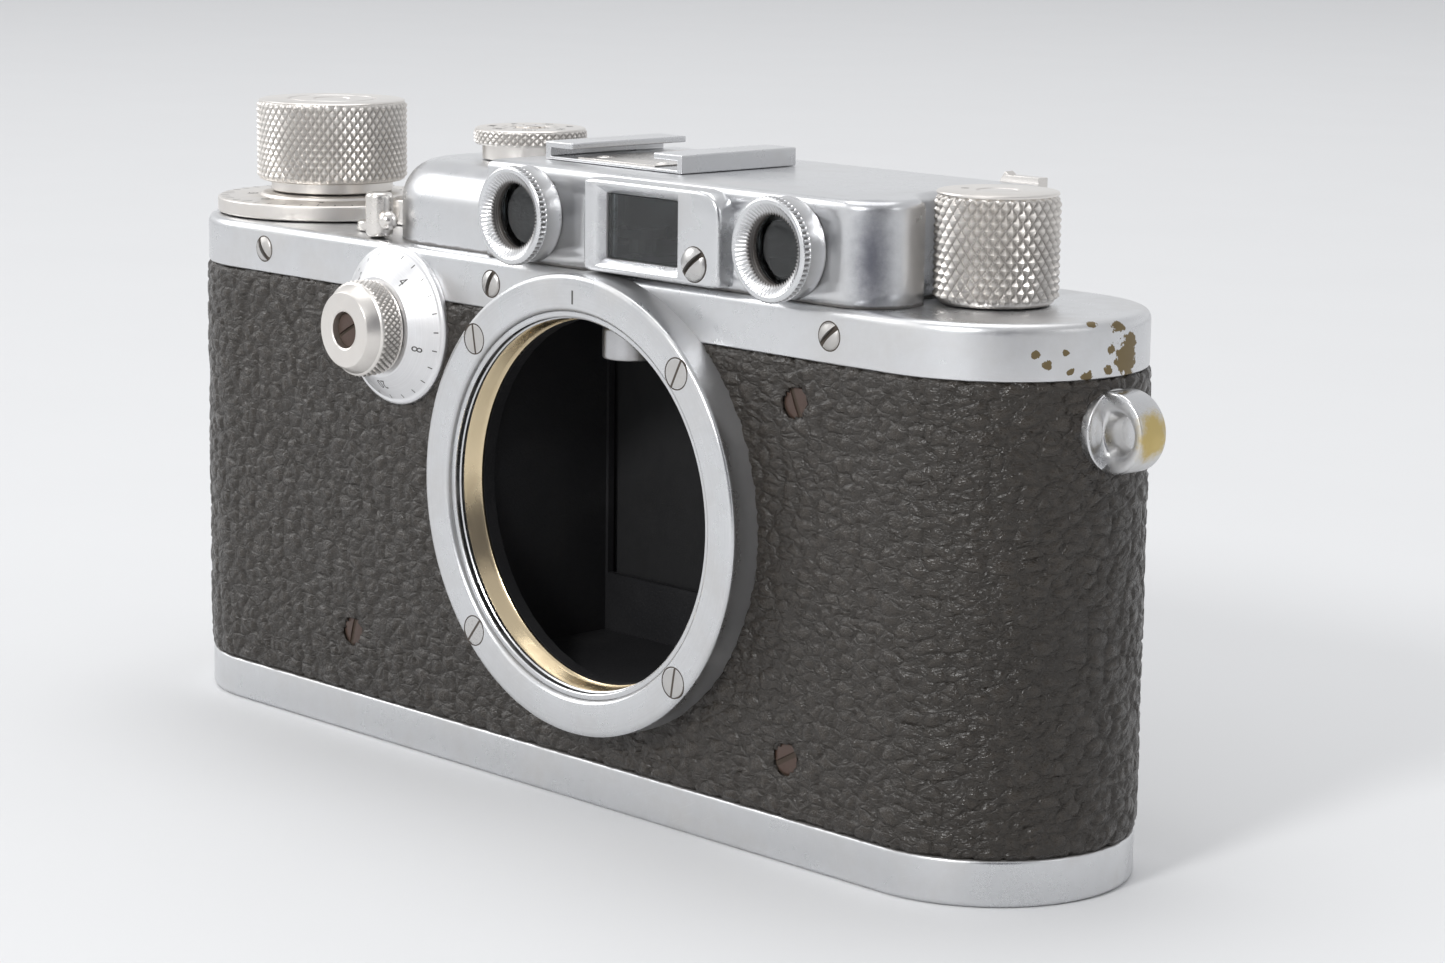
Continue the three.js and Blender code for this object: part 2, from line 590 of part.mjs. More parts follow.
// ---- controls ------------------------------------------------------------
/** Knurled knob with its neck and spindle turned in one piece. */
function windingKnob() {
  const drum = knurled(WIND_X, 0, WIND_R, WIND_Z0, WIND_Z1 - 0.25, 36, 9, 0.42);
  return plus(
    drum,
    turned([[0, 50.2], [SPINDLE_R, 50.2], [SPINDLE_R, 58.2], [7.0, 58.2], [7.0, WIND_Z0 + 0.1], [0, WIND_Z0 + 0.1]],
      WIND_X, 0, 40),
    turned([[0, WIND_Z1 - 0.6], [WIND_R - 0.5, WIND_Z1 - 0.6], [WIND_R - 0.5, WIND_Z1 - 0.2],
      [WIND_R - 0.8, WIND_Z1], [0, WIND_Z1]], WIND_X, 0, 40),
  );
}

/** Raised dial plate under the winding knob. */
function counterDial() {
  return turned([[SPINDLE_R + 0.1, Z_DECK + 0.1], [COUNTER_R, Z_DECK + 0.1], [COUNTER_R, 57.2], [COUNTER_R - 0.35, 57.55],
    [8.2, 57.55], [7.8, 58.0], [SPINDLE_R + 0.1, 58.0]], WIND_X, 0, 48);
}

function rewindKnob() {
  const drum = knurled(REWIND_X, 0, REWIND_R, REWIND_Z0, REWIND_Z1 - 0.12, 26, 10, 0.5, 0.35);
  return minus(
    plus(drum, turned([[0, REWIND_Z1 - 0.5], [REWIND_R - 0.55, REWIND_Z1 - 0.5],
      [REWIND_R - 0.55, REWIND_Z1 - 0.15], [REWIND_R - 0.8, REWIND_Z1], [0, REWIND_Z1]], REWIND_X, 0, 28)),
    post(REWIND_X - 3.4, -1.2, 0.35, REWIND_Z1 - 0.25, REWIND_Z1 + 1, 12),
  );
}

/** Shaft and two-pronged fork that turns the film cartridge core. */
function rewindShaft() {
  return plus(
    post(REWIND_X, 0, SPINDLE_R, 43.5, 55.65, 24),
    block(REWIND_X - 3.0, REWIND_X + 3.0, -0.6, 0.6, 40.0, 44.0),
  );
}

function speedDial() {
  const rim = knurled(SPEED_X, 0, SPEED_R, SPEED_Z0, SPEED_Z1 - 0.2, 28, 1, 0.3, 0.2);
  return minus(
    plus(rim,
      turned([[0, STEP_TOP + 0.15], [5.2, STEP_TOP + 0.15], [5.2, SPEED_Z0 + 0.1], [0, SPEED_Z0 + 0.1]],
        SPEED_X, 0, 32),
      turned([[0, SPEED_Z1 - 0.5], [SPEED_R - 0.4, SPEED_Z1 - 0.5], [SPEED_R - 0.6, SPEED_Z1], [0, SPEED_Z1]],
        SPEED_X, 0, 32)),
    post(SPEED_X, 0, 1.6 + RUN, STEP_TOP, SPEED_Z1 + 1, 24),
  );
}

/** Slotted centre post that the speed dial lifts and turns on. */
const speedPost = () => minus(
  post(SPEED_X, 0, 1.6, STEP_TOP + 0.15, SPEED_Z1 + 0.1, 24),
  block(SPEED_X - 3, SPEED_X + 3, -0.2, 0.2, SPEED_Z1 - 0.15, SPEED_Z1 + 1),
);

/** Conical seat of the slow-speed dial. */
function slowPlate() {
  const shell = -R_SHELL - GAP;
  return minus(
    turnedFront([[2.4, shell], [SLOW_R, shell], [SLOW_R, -15.0], [SLOW_R - 0.35, -15.3], [5.4, -17.6],
      [2.4, -17.6]], SLOW_X, SLOW_Z, 64),
    block(-40, 0, -R_END - 0.08, -10, Z_LEATHER - 0.15, 60),
  );
}

function slowKnob() {
  const knob = plus(
    coinEdged(SLOW_X, SLOW_Z, SLOW_KNOB_R, -20.6, -18.0, 28, 0.3),
    turnedFront([[0, -22.0], [4.0, -22.0], [4.9, -20.5], [4.9, -17.9], [2.1, -17.7], [2.1, -12.9], [0, -12.9]],
      SLOW_X, SLOW_Z, 40),
  );
  return minus(knob, bore(SLOW_X, SLOW_Z, 1.95, -23, -21.0, 28));
}

const slowScrew = () => minus(bore(SLOW_X, SLOW_Z, 1.85, -21.5, -21.05, 24),
  block(SLOW_X - 3, SLOW_X + 3, -22, -21.35, SLOW_Z - 0.2, SLOW_Z + 0.2));

const LEVER_X = -33.6, LEVER_Y = -8.8;
/** Advance and rewind lever: pivot, flat arm along the deck and an upright finger pin. */
function advanceLever() {
  const tip = [-27.7, -12.5], dx = tip[0] - LEVER_X, dy = tip[1] - LEVER_Y, len = Math.hypot(dx, dy);
  const arm = new THREE.BoxGeometry(len, 1.8, 0.7);
  arm.rotateZ(Math.atan2(dy, dx));
  arm.translate((LEVER_X + tip[0]) / 2, (LEVER_Y + tip[1]) / 2, 56.1);
  const ball = new THREE.SphereGeometry(1.05, 10, 6);
  ball.translate(-25.4, -13.1, 57.7);
  const stalk = new THREE.CylinderGeometry(0.4, 0.4, 2.6, 10);
  stalk.rotateZ(Math.PI / 2);
  stalk.rotateZ(-0.25);
  stalk.translate(-26.5, -12.85, 57.7);
  return plus(
    solid(arm),
    post(LEVER_X, LEVER_Y, 1.7, 55.75, 56.8, 24),
    turned([[0, 55.75], [1.5, 55.75], [1.5, 60.3], [1.2, 60.6], [0, 60.6]], tip[0], tip[1], 24),
    solid(ball), solid(stalk),
  );
}

const releaseCollar = () => turned([[SPINDLE_R + 0.05, Z_DECK + 0.08], [3.6, Z_DECK + 0.08], [3.6, 58.2], [3.2, 58.6],
  [2.4, 58.6], [SPINDLE_R + 0.05, 58.2]], RELEASE_X, 0, 28);
const releaseButton = () => turned([[0, 54.9], [1.87, 54.9], [1.87, 59.7], [1.5, 60.2], [0.7, 60.2],
  [0.5, 59.8], [0, 59.8]], RELEASE_X, 0, 28);

/** Strap lug: round flange on the body end with a half-moon ear drilled front to back. */
function strapLug(side) {
  const ear = new THREE.Shape();
  ear.moveTo(66.9, LUG_Z - 3.9);
  ear.lineTo(67.9, LUG_Z - 3.9);
  ear.absarc(67.9, LUG_Z, 3.9, -Math.PI / 2, Math.PI / 2, false);
  ear.lineTo(66.9, LUG_Z + 3.9);
  const whole = minus(
    plus(
      axle(0, LUG_Z, LUG_R, 65.45, 67.2, 40),
      plate(ear, -1.8, 1.8, 16),
      axle(0, LUG_Z, 1.2, 63.0, 66, 16),
    ),
    bore(68.9, LUG_Z, 1.8, -3, 3, 28),
  );
  return side > 0 ? whole : whole.mirror([1, 0, 0]);
}

// ---- assembly ------------------------------------------------------------
add('body_shell', bodyShell(), BLACK);
add('leather_covering', leatherCovering(), LEATHER);
add('top_plate', topPlate(), CHROME);
add('base_plate', basePlate(), CHROME);
add('base_lock_key', baseKey(), CHROME);
add('base_key_bail', baseBail(), NICKEL);
add('tripod_socket', tripodSocket(), STEEL);
add('lens_mount_ring', lensRing(), CHROME);
add('lens_thread_sleeve', threadSleeve(), BRASS);
[0, 1, 2, 3].forEach((k) => {
  const [x, z] = ringScrewAt(k);
  add(`mount_screw_${k + 1}`, frontScrew(x, z, 1.6, RING_FRONT - 0.03, RING_FRONT + 0.85, 3.9, 0.8 + k * 0.7), CHROME);
});
add('light_box', lightBox(), BLACK);
add('film_gate', filmGate(), BLACK);
add('pressure_plate', pressurePlate(), STEEL);
add('mechanism_plate', mechanismPlate(), BLACK);
add('shutter_curtain', block(-15.8, 35.5, 4.85, 5.15, 17, 47), CLOTH);
add('shutter_drum', plus(post(SPEED_X, 0, 4.7, 15, 49, 36), post(SPEED_X, 0, SPINDLE_R, 48, 64.35, 24)), STEEL);
add('curtain_roller', post(36.2, 2.4, 2.3, 15, 49, 28), STEEL);
add('take_up_spool', flanged(WIND_X, 5.2, 11.3, 8.5, 49.8), BLACK);
add('film_sprocket', sprocket(), STEEL);
add('rangefinder_housing', finderHousing(), CHROME);
add('finder_window_plate', finderPlate(), CHROME);
add('finder_plate_screw', frontScrew(FINDER_X + 8.5, 58.1, 1.7, -16.75, -16.06, 2.4, -0.75, 0.35), NICKEL);
add('finder_glass', block(FINDER_X - 5.2, FINDER_X + 5.2, -15.0, -14.3, FINDER_Z - 3.2, FINDER_Z + 3.2), GLASS);
add('rf_bezel_left', windowBezel(WINDOW_L), CHROME);
add('rf_bezel_right', windowBezel(WINDOW_R), CHROME);
add('rf_glass_left', windowGlass(WINDOW_L), GLASS);
add('rf_glass_right', windowGlass(WINDOW_R), GLASS);
add('finder_eyepiece', eyepiece(FINDER_X, 4.0, 1.6), NICKEL);
add('rf_eyepiece', eyepiece(WINDOW_R, 4.0, 2.4), NICKEL);
add('finder_eye_lens', eyeLens(FINDER_X), GLASS);
add('rf_eye_lens', eyeLens(WINDOW_R), GLASS);
add('diopter_lever', diopterLever(), NICKEL);
add('rf_half_mirror', halfMirror(), GLASS);
add('rf_turning_prism', prism(WINDOW_L, 2, 3.4, 58.25, 63.6, 0.4), GLASS);
add('rf_coupling_arm', couplingArm(), STEEL);
add('rf_cam_roller', roller(), NICKEL);
add('accessory_shoe', accessoryShoe(), CHROME);
add('counter_dial', counterDial(), CHROME);
add('winding_knob', windingKnob(), NICKEL);
add('release_collar', releaseCollar(), CHROME);
add('release_button', releaseButton(), NICKEL);
add('advance_lever', advanceLever(), NICKEL);
add('speed_dial', speedDial(), NICKEL);
add('speed_dial_post', speedPost(), STEEL);
add('slow_dial_plate', slowPlate(), CHROME);
add('slow_dial_knob', slowKnob(), NICKEL);
add('slow_dial_screw', slowScrew(), BRASS);
add('rewind_knob', rewindKnob(), NICKEL);
add('rewind_fork', rewindShaft(), STEEL);
add('strap_lug_right', strapLug(1), CHROME);
add('strap_lug_left', strapLug(-1), CHROME);
SKIRT_SCREWS.forEach(([x, z], k) => add(`skirt_screw_${k + 1}`,
  frontScrew(x, z, 1.5, -15.0, -R_END - GAP, 1.9, 0.9 - k * 0.6, 0.12), NICKEL));
BODY_SCREWS.forEach(([x, z], k) => add(`body_screw_${k + 1}`,
  frontScrew(x, z, 1.65, -14.4, -R_SHELL - GAP, 1.3, 0.5 + k * 0.8), RUST));

export default root;
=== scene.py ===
"""Screw-mount rangefinder camera body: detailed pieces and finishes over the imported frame."""
import math

import bmesh
import bpy
import numpy as np
from bpy.props import FloatProperty, FloatVectorProperty, IntProperty, PointerProperty
from mathutils import Matrix, Vector


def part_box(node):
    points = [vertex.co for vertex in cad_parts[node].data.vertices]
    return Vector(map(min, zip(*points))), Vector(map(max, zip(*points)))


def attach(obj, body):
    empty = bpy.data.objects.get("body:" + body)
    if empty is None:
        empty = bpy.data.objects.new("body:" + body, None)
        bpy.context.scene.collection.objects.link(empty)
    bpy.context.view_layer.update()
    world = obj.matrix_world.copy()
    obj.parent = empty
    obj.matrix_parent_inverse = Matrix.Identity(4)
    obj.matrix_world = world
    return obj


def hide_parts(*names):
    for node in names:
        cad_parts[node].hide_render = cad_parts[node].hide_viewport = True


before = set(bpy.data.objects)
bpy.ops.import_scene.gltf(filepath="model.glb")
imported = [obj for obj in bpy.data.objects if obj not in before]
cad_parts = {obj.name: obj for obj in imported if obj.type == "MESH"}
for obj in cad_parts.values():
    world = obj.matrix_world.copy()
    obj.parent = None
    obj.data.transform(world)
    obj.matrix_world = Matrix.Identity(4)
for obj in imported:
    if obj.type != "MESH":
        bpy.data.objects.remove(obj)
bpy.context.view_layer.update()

bl_info = {
    "name": "Rangefinder Camera Body",
    "version": (1, 0, 0),
    "blender": (4, 5, 0),
    "location": "3D View > Sidebar > Camera Body",
    "description": "Builds the covers, dials, knobs, windows and leather of a rangefinder camera body",
    "category": "Object",
}

MM = 0.001
TURN = 2 * math.pi


# ---- places read from the frame, in millimetres -----------------------------
def low(node):
    """Lowest corner of a CAD node."""
    return np.array(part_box(node)[0]) / MM


def high(node):
    """Highest corner of a CAD node."""
    return np.array(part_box(node)[1]) / MM


def middle(node):
    """Centre of a CAD node's box."""
    return (low(node) + high(node)) / 2


BODY_HALF_DEPTH = 14.55
BODY_END_X = 52.0
SKIRT_Z, DECK_Z, BASE_TOP_Z = 50.2, 55.6, 4.7
MOUNT = np.array([10.83, 0.0, 32.05])
HOUSING_TOP = 65.8
WINDOW_Z = 60.6
WINDOWS = (-0.7, 37.5)
FINDER_X = 17.9
EYEPIECES = (17.9, 37.5)
KEY_X, BUSH_X = 50.5, -50.5
SKIRT_CUT_R = 20.2
RING_FACE_Y, FINDER_PLATE_Y, LEATHER_SEAT_Y = -18.15, -16.0, -14.2
THREAD_PITCH, THREAD_TURNS = 0.28, 7
LUG_X, LUG_Z, LUG_BORE_R = 68.9, 45.3, 1.55
COUNTER_FACE_Z = 57.55
INK = 0.012


# ---- surfaces on a grid ------------------------------------------------------
TO_AXIS = {
    "Z": np.eye(3),
    "-Z": np.array([[1, 0, 0], [0, -1, 0], [0, 0, -1]]),
    "-Y": np.array([[1, 0, 0], [0, 0, -1], [0, 1, 0]]),
    "Y": np.array([[-1, 0, 0], [0, 0, 1], [0, 1, 0]]),
    "X": np.array([[0, 0, 1], [1, 0, 0], [0, 1, 0]]),
    "-X": np.array([[0, 0, -1], [-1, 0, 0], [0, 1, 0]]),
}


def sheet(points, wrap_u=False, wrap_v=False, caps="", keep=None, groove=0.0):
    """Quads P[i,j], P[i+1,j], P[i+1,j+1], P[i,j+1] over a grid of points.

    A wrapped direction joins its last line to its first; caps "a" and "z" fill the first and the
    last v line with one face; keep is a mask of the quads that stay; groove is 1 in hollows,
    which the finishes darken with grime and painted shade."""
    nu, nv = points.shape[:2]
    index = np.arange(nu * nv).reshape(nu, nv)
    first, last = index[:, 0], index[:, -1]
    if wrap_u:
        index = np.vstack([index, index[:1]])
    if wrap_v:
        index = np.hstack([index, index[:, :1]])
    quads = np.stack([index[:-1, :-1], index[1:, :-1], index[1:, 1:], index[:-1, 1:]], -1)
    quads = quads.reshape(-1, 4) if keep is None else quads[keep]
    ends = [line for line, key in ((first, "a"), (last, "z")) if key in caps]
    return points.reshape(-1, 3), quads, ends, np.broadcast_to(groove, (nu, nv)).ravel()


def place(local, centre, axis="Z"):
    """Local points with their height along z, turned to an axis and moved to a centre."""
    return local @ TO_AXIS[axis].T + np.asarray(centre, float)


def rounded(profile, radius, steps=5):
    """Open profile with parabolic corners: A(1-s)^2 + 2 P s(1-s) + B s^2, A and B a radius from P."""
    p = np.array(profile, float)
    before, after = p[1:-1] - p[:-2], p[2:] - p[1:-1]
    lb = np.linalg.norm(before, axis=1, keepdims=True)
    la = np.linalg.norm(after, axis=1, keepdims=True)
    d = np.minimum(radius, 0.48 * np.minimum(lb, la))
    a, b = p[1:-1] - before / lb * d, p[1:-1] + after / la * d
    s = np.linspace(0, 1, steps)[None, :, None]
    arcs = a[:, None] * (1 - s) ** 2 + 2 * p[1:-1][:, None] * s * (1 - s) + b[:, None] * s**2
    return np.vstack([p[:1], arcs.reshape(-1, 2), p[-1:]])


def turned(profile, centre, axis="Z", segments=96, wave=None, groove=0.0):
    """Profile of (radius, height) carried round an axis: (r cos t, r sin t, h).

    wave = (teeth, depth, low, high) flutes the radius by depth (1 + cos(teeth t)) / 2 between
    two heights."""
    r, h = np.array(profile, float).T
    t = np.linspace(0, TURN, segments, endpoint=False)[:, None]
    radius = np.broadcast_to(r, (segments, len(r))).copy()
    grime_and_shade_mask = np.broadcast_to(groove, radius.shape).copy()
    if wave:
        teeth, depth, start, stop = wave
        dip = (1 + np.cos(teeth * t)) / 2 * ((h > start) & (h < stop))
        radius -= depth * dip
        # The flutes' hollows are marked for painted shade and grime.
        grime_and_shade_mask = np.maximum(grime_and_shade_mask, dip * 1.1)
    local = np.stack([radius * np.cos(t), radius * np.sin(t), np.broadcast_to(h, radius.shape)], -1)
    return sheet(place(local, centre, axis), wrap_u=True, groove=grime_and_shade_mask)


def knurl(radius, z0, z1, teeth, pitch, depth, foot, head, centre, axis="Z", fine=8):
    """Diamond knurl between two plain profiles of (radius, height).

    Two families of V grooves cross: h = min(tri(n t/2pi + z/p), tri(n t/2pi - z/p)), where tri
    rises from 0 to 1 and back in each period, and the radius is R - depth (1 - h)."""
    segments = teeth * fine
    rows = max(8, int(round((z1 - z0) / pitch * fine)))
    t = np.linspace(0, TURN, segments, endpoint=False)[:, None]
    z = np.linspace(z0, z1, rows)[None, :]
    around, along = teeth * t / TURN, z / pitch

    def ridge(phase):
        return 1 - np.abs(2 * (phase % 1.0) - 1)

    crest = np.minimum(ridge(around + along), ridge(around - along))
    fade = np.clip(np.minimum(z - z0, z1 - z) / (0.25 * pitch), 0, 1)
    body = radius - depth * (1 - np.minimum(crest, 0.88) / 0.88 * fade)
    foot, head = np.array(foot, float), np.array(head, float)
    radii = np.hstack([np.tile(foot[:, 0], (segments, 1)), body, np.tile(head[:, 0], (segments, 1))])
    heights = np.concatenate([foot[:, 1], z[0], head[:, 1]])
    plain = np.zeros((segments, 1))
    # The knurl's valleys are marked for painted shade and grime; the plain foot and head are not.
    grime_and_shade_mask = np.hstack([np.tile(plain, len(foot)), (1 - crest) ** 2.5 * fade, np.tile(plain, len(head))])
    local = np.stack([radii * np.cos(t), radii * np.sin(t), np.broadcast_to(heights, radii.shape)], -1)
    return sheet(place(local, centre, axis), wrap_u=True, groove=grime_and_shade_mask)


def stadium(profile, side=53, arc=41, x_end=BODY_END_X):
    """Profile of (reach, height) carried round a slot-shaped plan: (c(s) + r cos f, r sin f, z).

    c runs along the straight sides while f stands still, and stays at an end while f turns."""
    line, bend = np.linspace(-x_end, x_end, side), np.linspace(-math.pi / 2, math.pi / 2, arc)[1:-1]
    c = np.concatenate([line, np.full(arc - 2, x_end), line[::-1], np.full(arc - 2, -x_end)])[:, None]
    f = np.concatenate([np.full(side, -math.pi / 2), bend, np.full(side, math.pi / 2), bend + math.pi])
    f = f[:, None]
    r, z = np.array(profile, float).T
    return np.stack([c + r * np.cos(f), r * np.sin(f), np.broadcast_to(z, (len(c), len(r)))], -1)


def swept(outline, rows):
    """Closed plan drawn at each (inset, height) row: P(s, k) = (outline(s, inset k), height k)."""
    layers = [np.column_stack([outline(inset), np.full(len(outline(inset)), z)]) for inset, z in rows]
    return np.stack(layers, 1)


def screw(node, slot_turn, wall, dome=0.25, slot_width=0.42, slot_depth=0.45, gap=0.13, shrink=0.0):
    """Slotted screw head facing the front.

    Lines across the slot run at heights v; x = u sqrt(R^2 - v^2), the crown falls by the square of
    the distance from the centre, and a line inside the slot is sunk by the slot's depth."""
    (x0, y0, z0), (x1, _, z1) = low(node), high(node)
    radius, centre = (x1 - x0) / 2 - shrink, ((x0 + x1) / 2, y0 + dome, (z0 + z1) / 2)
    half = slot_width / 2
    outer = radius * np.cos(np.linspace(0, math.pi / 2, 15))
    outer = outer[outer > half + 0.03]
    v = np.concatenate([outer, [half + 0.02, half, half - 0.02, 0, 0.02 - half, -half, -half - 0.02],
                        -outer[::-1]])
    v[0], v[-1] = radius, -radius
    sunk = (np.abs(v) < half - 0.01).astype(float)
    u = np.linspace(-1, 1, 17)
    width = np.sqrt(np.maximum(radius**2 - v**2, 0))
    x, y = u[:, None] * width, np.broadcast_to(v, (17, len(v)))
    reach = np.sqrt(x**2 + y**2) / radius
    z = dome * (1 - reach**2) - 0.10 * np.clip(reach * 8 - 7, 0, 1) ** 2
    z = np.where(sunk > 0, np.maximum(z - slot_depth, centre[1] - wall + 0.015), z)
    top = np.stack([x, y, z], -1)
    foot_a, foot_z = top[:1].copy(), top[-1:].copy()
    foot_a[..., 2] = foot_z[..., 2] = -0.7
    local = np.concatenate([foot_a, top, foot_z])
    # The slot's floor is marked for painted shade and grime.
    grime_and_shade_mask = np.broadcast_to(sunk, (19, len(v)))
    c, s = math.cos(slot_turn), math.sin(slot_turn)
    local = local @ np.array([[c, s, 0], [-s, c, 0], [0, 0, 1]])
    head = sheet(place(local, centre, "-Y"), wrap_u=True, groove=grime_and_shade_mask)
    # A thin ring round the head, wholly marked for painted shade and grime, stands for the gap in the seat.
    seat = turned([(radius - 0.1, 0.012), (radius + gap, 0.012), (radius + gap + 0.02, -0.3)],
                  (centre[0], wall, centre[2]), "-Y", 40, groove=1.0)
    return [head, seat]


def lettering(words, size, radius, centre, axis="Z", lift=None, start=0.0):
    """Words set round a dial, each flat glyph turned to its own angle and moved out to the radius.

    lift gives the height of the dial's face at each distance from its axis."""
    points, faces, total = [], [], 0
    for k, word in enumerate(words):
        curve = bpy.data.curves.new("glyph", "FONT")
        curve.body, curve.size, curve.align_x, curve.align_y = word, size, "CENTER", "CENTER"
        curve.resolution_u = 3
        holder = bpy.data.objects.new("glyph", curve)
        flat = bpy.data.meshes.new_from_object(holder)
        xy = np.zeros(len(flat.vertices) * 3)
        flat.vertices.foreach_get("co", xy)
        xy = xy.reshape(-1, 3)
        angle = start - TURN * k / len(words)
        c, s = math.cos(angle), math.sin(angle)
        xy[:, 1] += radius
        local = xy @ np.array([[c, s, 0], [-s, c, 0], [0, 0, 1]])
        local[:, 2] = lift(np.hypot(local[:, 0], local[:, 1]))
        points.append(place(local, centre, axis))
        faces += [np.array(p.vertices) + total for p in flat.polygons]
        total += len(xy)
        bpy.data.objects.remove(holder)
        bpy.data.curves.remove(curve)
        bpy.data.meshes.remove(flat)
    points = np.vstack(points)
    return points, np.zeros((0, 4), int), faces, np.zeros(len(points))


def level(height):
    """A flat dial face for lettering and ticks: one height at every distance from the axis."""
    return lambda r: np.full_like(r, height)


def ticks(count, r0, r1, width, centre, axis="Z", lift=None, every=0, longer=0.0):
    """Radial marks: bars from r0 to r1 of one width, each every-th one longer, turned round the axis."""
    t = np.arange(count) * TURN / count
    inner = np.full(count, r0)
    if every:
        inner[::every] -= longer
    r = np.stack([inner, inner, np.full(count, r1), np.full(count, r1)], 1)
    w = np.array([-width, width, width, -width]) / 2
    x, y = r * np.cos(t[:, None]) - w * np.sin(t[:, None]), r * np.sin(t[:, None]) + w * np.cos(t[:, None])
    local = np.stack([x, y, lift(np.hypot(x, y))], -1).reshape(-1, 3)
    return place(local, centre, axis), np.arange(count * 4).reshape(-1, 4), [], np.zeros(count * 4)


def build(name, sheets, material, body, nodes=(), sharp=38.0, weld=0.002, closed=True):
    """One mesh from grid sheets given in millimetres, welded, facing outwards and shaded smooth."""
    starts = np.cumsum([0] + [len(s[0]) for s in sheets])
    points = np.vstack([s[0] for s in sheets]) * MM
    faces = []
    for (_, quads, ends, _), start in zip(sheets, starts):
        faces += (quads + start).tolist() + [(np.asarray(line) + start).tolist() for line in ends]
    mesh = bpy.data.meshes.new(name)
    mesh.from_pydata(points.tolist(), [], faces)
    layer = mesh.attributes.new("groove", "FLOAT", "POINT")
    layer.data.foreach_set("value", np.concatenate([s[3] for s in sheets]).astype(np.float32))
    shape = bmesh.new()
    shape.from_mesh(mesh)
    bmesh.ops.remove_doubles(shape, verts=shape.verts, dist=weld * MM)
    if closed:
        bmesh.ops.recalc_face_normals(shape, faces=shape.faces)
    shape.to_mesh(mesh)
    shape.free()
    mesh.shade_smooth()
    mesh.set_sharp_from_angle(angle=math.radians(sharp))
    thing = bpy.data.objects.new(name, mesh)
    bpy.context.scene.collection.objects.link(thing)
    mesh.materials.append(material)
    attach(thing, body)
    if nodes:
        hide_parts(*nodes)
    return thing


def bevelled(thing, width, segments=2, angle=30.0):
    """Rounds the edges of a piece that are sharper than an angle."""
    bevel = thing.modifiers.new("Rounded edges", "BEVEL")
    bevel.width, bevel.segments = width * MM, segments
    bevel.limit_method, bevel.angle_limit = "ANGLE", math.radians(angle)
    bevel.harden_normals = False
    return thing


def extruded(section, axis_points, lay):
    """Closed section drawn at each place along a straight path; lay turns (a, b, c) into x, y, z."""
    a, b = np.array(section, float).T
    c = np.array(axis_points, float)
    grid = np.stack(np.broadcast_arrays(a[:, None], b[:, None], c[None, :]), -1)
    return sheet(lay(grid), wrap_u=True, caps="az")


# ---- finishes ----------------------------------------------------------------
class Wiring:
    """Short hand for adding nodes to one tree."""

    def __init__(self, tree):
        self.tree = tree

    def add(self, kind, values=None, **settings):
        """A node whose inputs are constants or other nodes' outputs."""
        node = self.tree.nodes.new(kind)
        for key, value in settings.items():
            setattr(node, key, value)
        return self.feed(node, values or {})

    def feed(self, node, values):
        """Constants set on a node's inputs, and other nodes' outputs joined to them."""
        for key, value in values.items():
            if isinstance(value, bpy.types.NodeSocket):
                self.tree.links.new(value, node.inputs[key])
            else:
                node.inputs[key].default_value = value
        return node

    def math(self, operation, a, b=0.0):
        """One arithmetic step."""
        return self.add("ShaderNodeMath", {0: a, 1: b}, operation=operation).outputs[0]

    def span(self, value, low_in, high_in, low_out=0.0, high_out=1.0):
        """A value's range carried smoothly to another."""
        values = {0: value, 1: low_in, 2: high_in, 3: low_out, 4: high_out}
        return self.add("ShaderNodeMapRange", values, interpolation_type="SMOOTHSTEP").outputs[0]

    def blend(self, mask, a, b):
        """Colour a where the mask is 0, b where it is 1."""
        return self.add("ShaderNodeMix", {0: mask, 6: a, 7: b}, data_type="RGBA").outputs[2]

    def place(self, scale=(1, 1, 1)):
        """Object coordinates in millimetres, stretched along the axes."""
        at = self.add("ShaderNodeTexCoord").outputs["Object"]
        stretch = tuple(s / MM for s in scale)
        return self.add("ShaderNodeMapping", {"Vector": at, "Scale": stretch}).outputs[0]

    def noise(self, where, scale, detail=3.0, rough=0.55):
        """Noise over a place given in millimetres."""
        values = {"Vector": where, "Scale": scale, "Detail": detail, "Roughness": rough}
        return self.add("ShaderNodeTexNoise", values).outputs[0]


def shader_group(name, inputs, outputs, wire):
    """A node group built once: wire(w, input sockets) returns the output sockets in order."""
    group = bpy.data.node_groups.get(name)
    if group:
        return group
    group = bpy.data.node_groups.new(name, "ShaderNodeTree")
    for label, kind, value in inputs:
        socket = group.interface.new_socket(label, in_out="INPUT", socket_type=kind)
        socket.default_value = value
    for label, kind in outputs:
        group.interface.new_socket(label, in_out="OUTPUT", socket_type=kind)
    w = Wiring(group)
    entry, end = w.add("NodeGroupInput"), w.add("NodeGroupOutput")
    for k, socket in enumerate(wire(w, entry.outputs)):
        group.links.new(socket, end.inputs[k])
    return group


FLOAT, POINT3 = "NodeSocketFloat", "NodeSocketVector"


def satin_grain():
    """Fine blasted grain: Height for bump, Tone from 0 to 1 for colour and gloss."""
    def wire(w, given):
        at = w.place()
        fine = w.noise(at, given["Scale"], 2.0)
        coarse = w.noise(at, w.math("MULTIPLY", given["Scale"], 0.07), 4.0)
        return fine, w.math("ADD", w.math("MULTIPLY", fine, 0.4), w.math("MULTIPLY", coarse, 0.6))
    return shader_group("Satin Grain", [("Scale", FLOAT, 9.0)], [("Height", FLOAT), ("Tone", FLOAT)], wire)


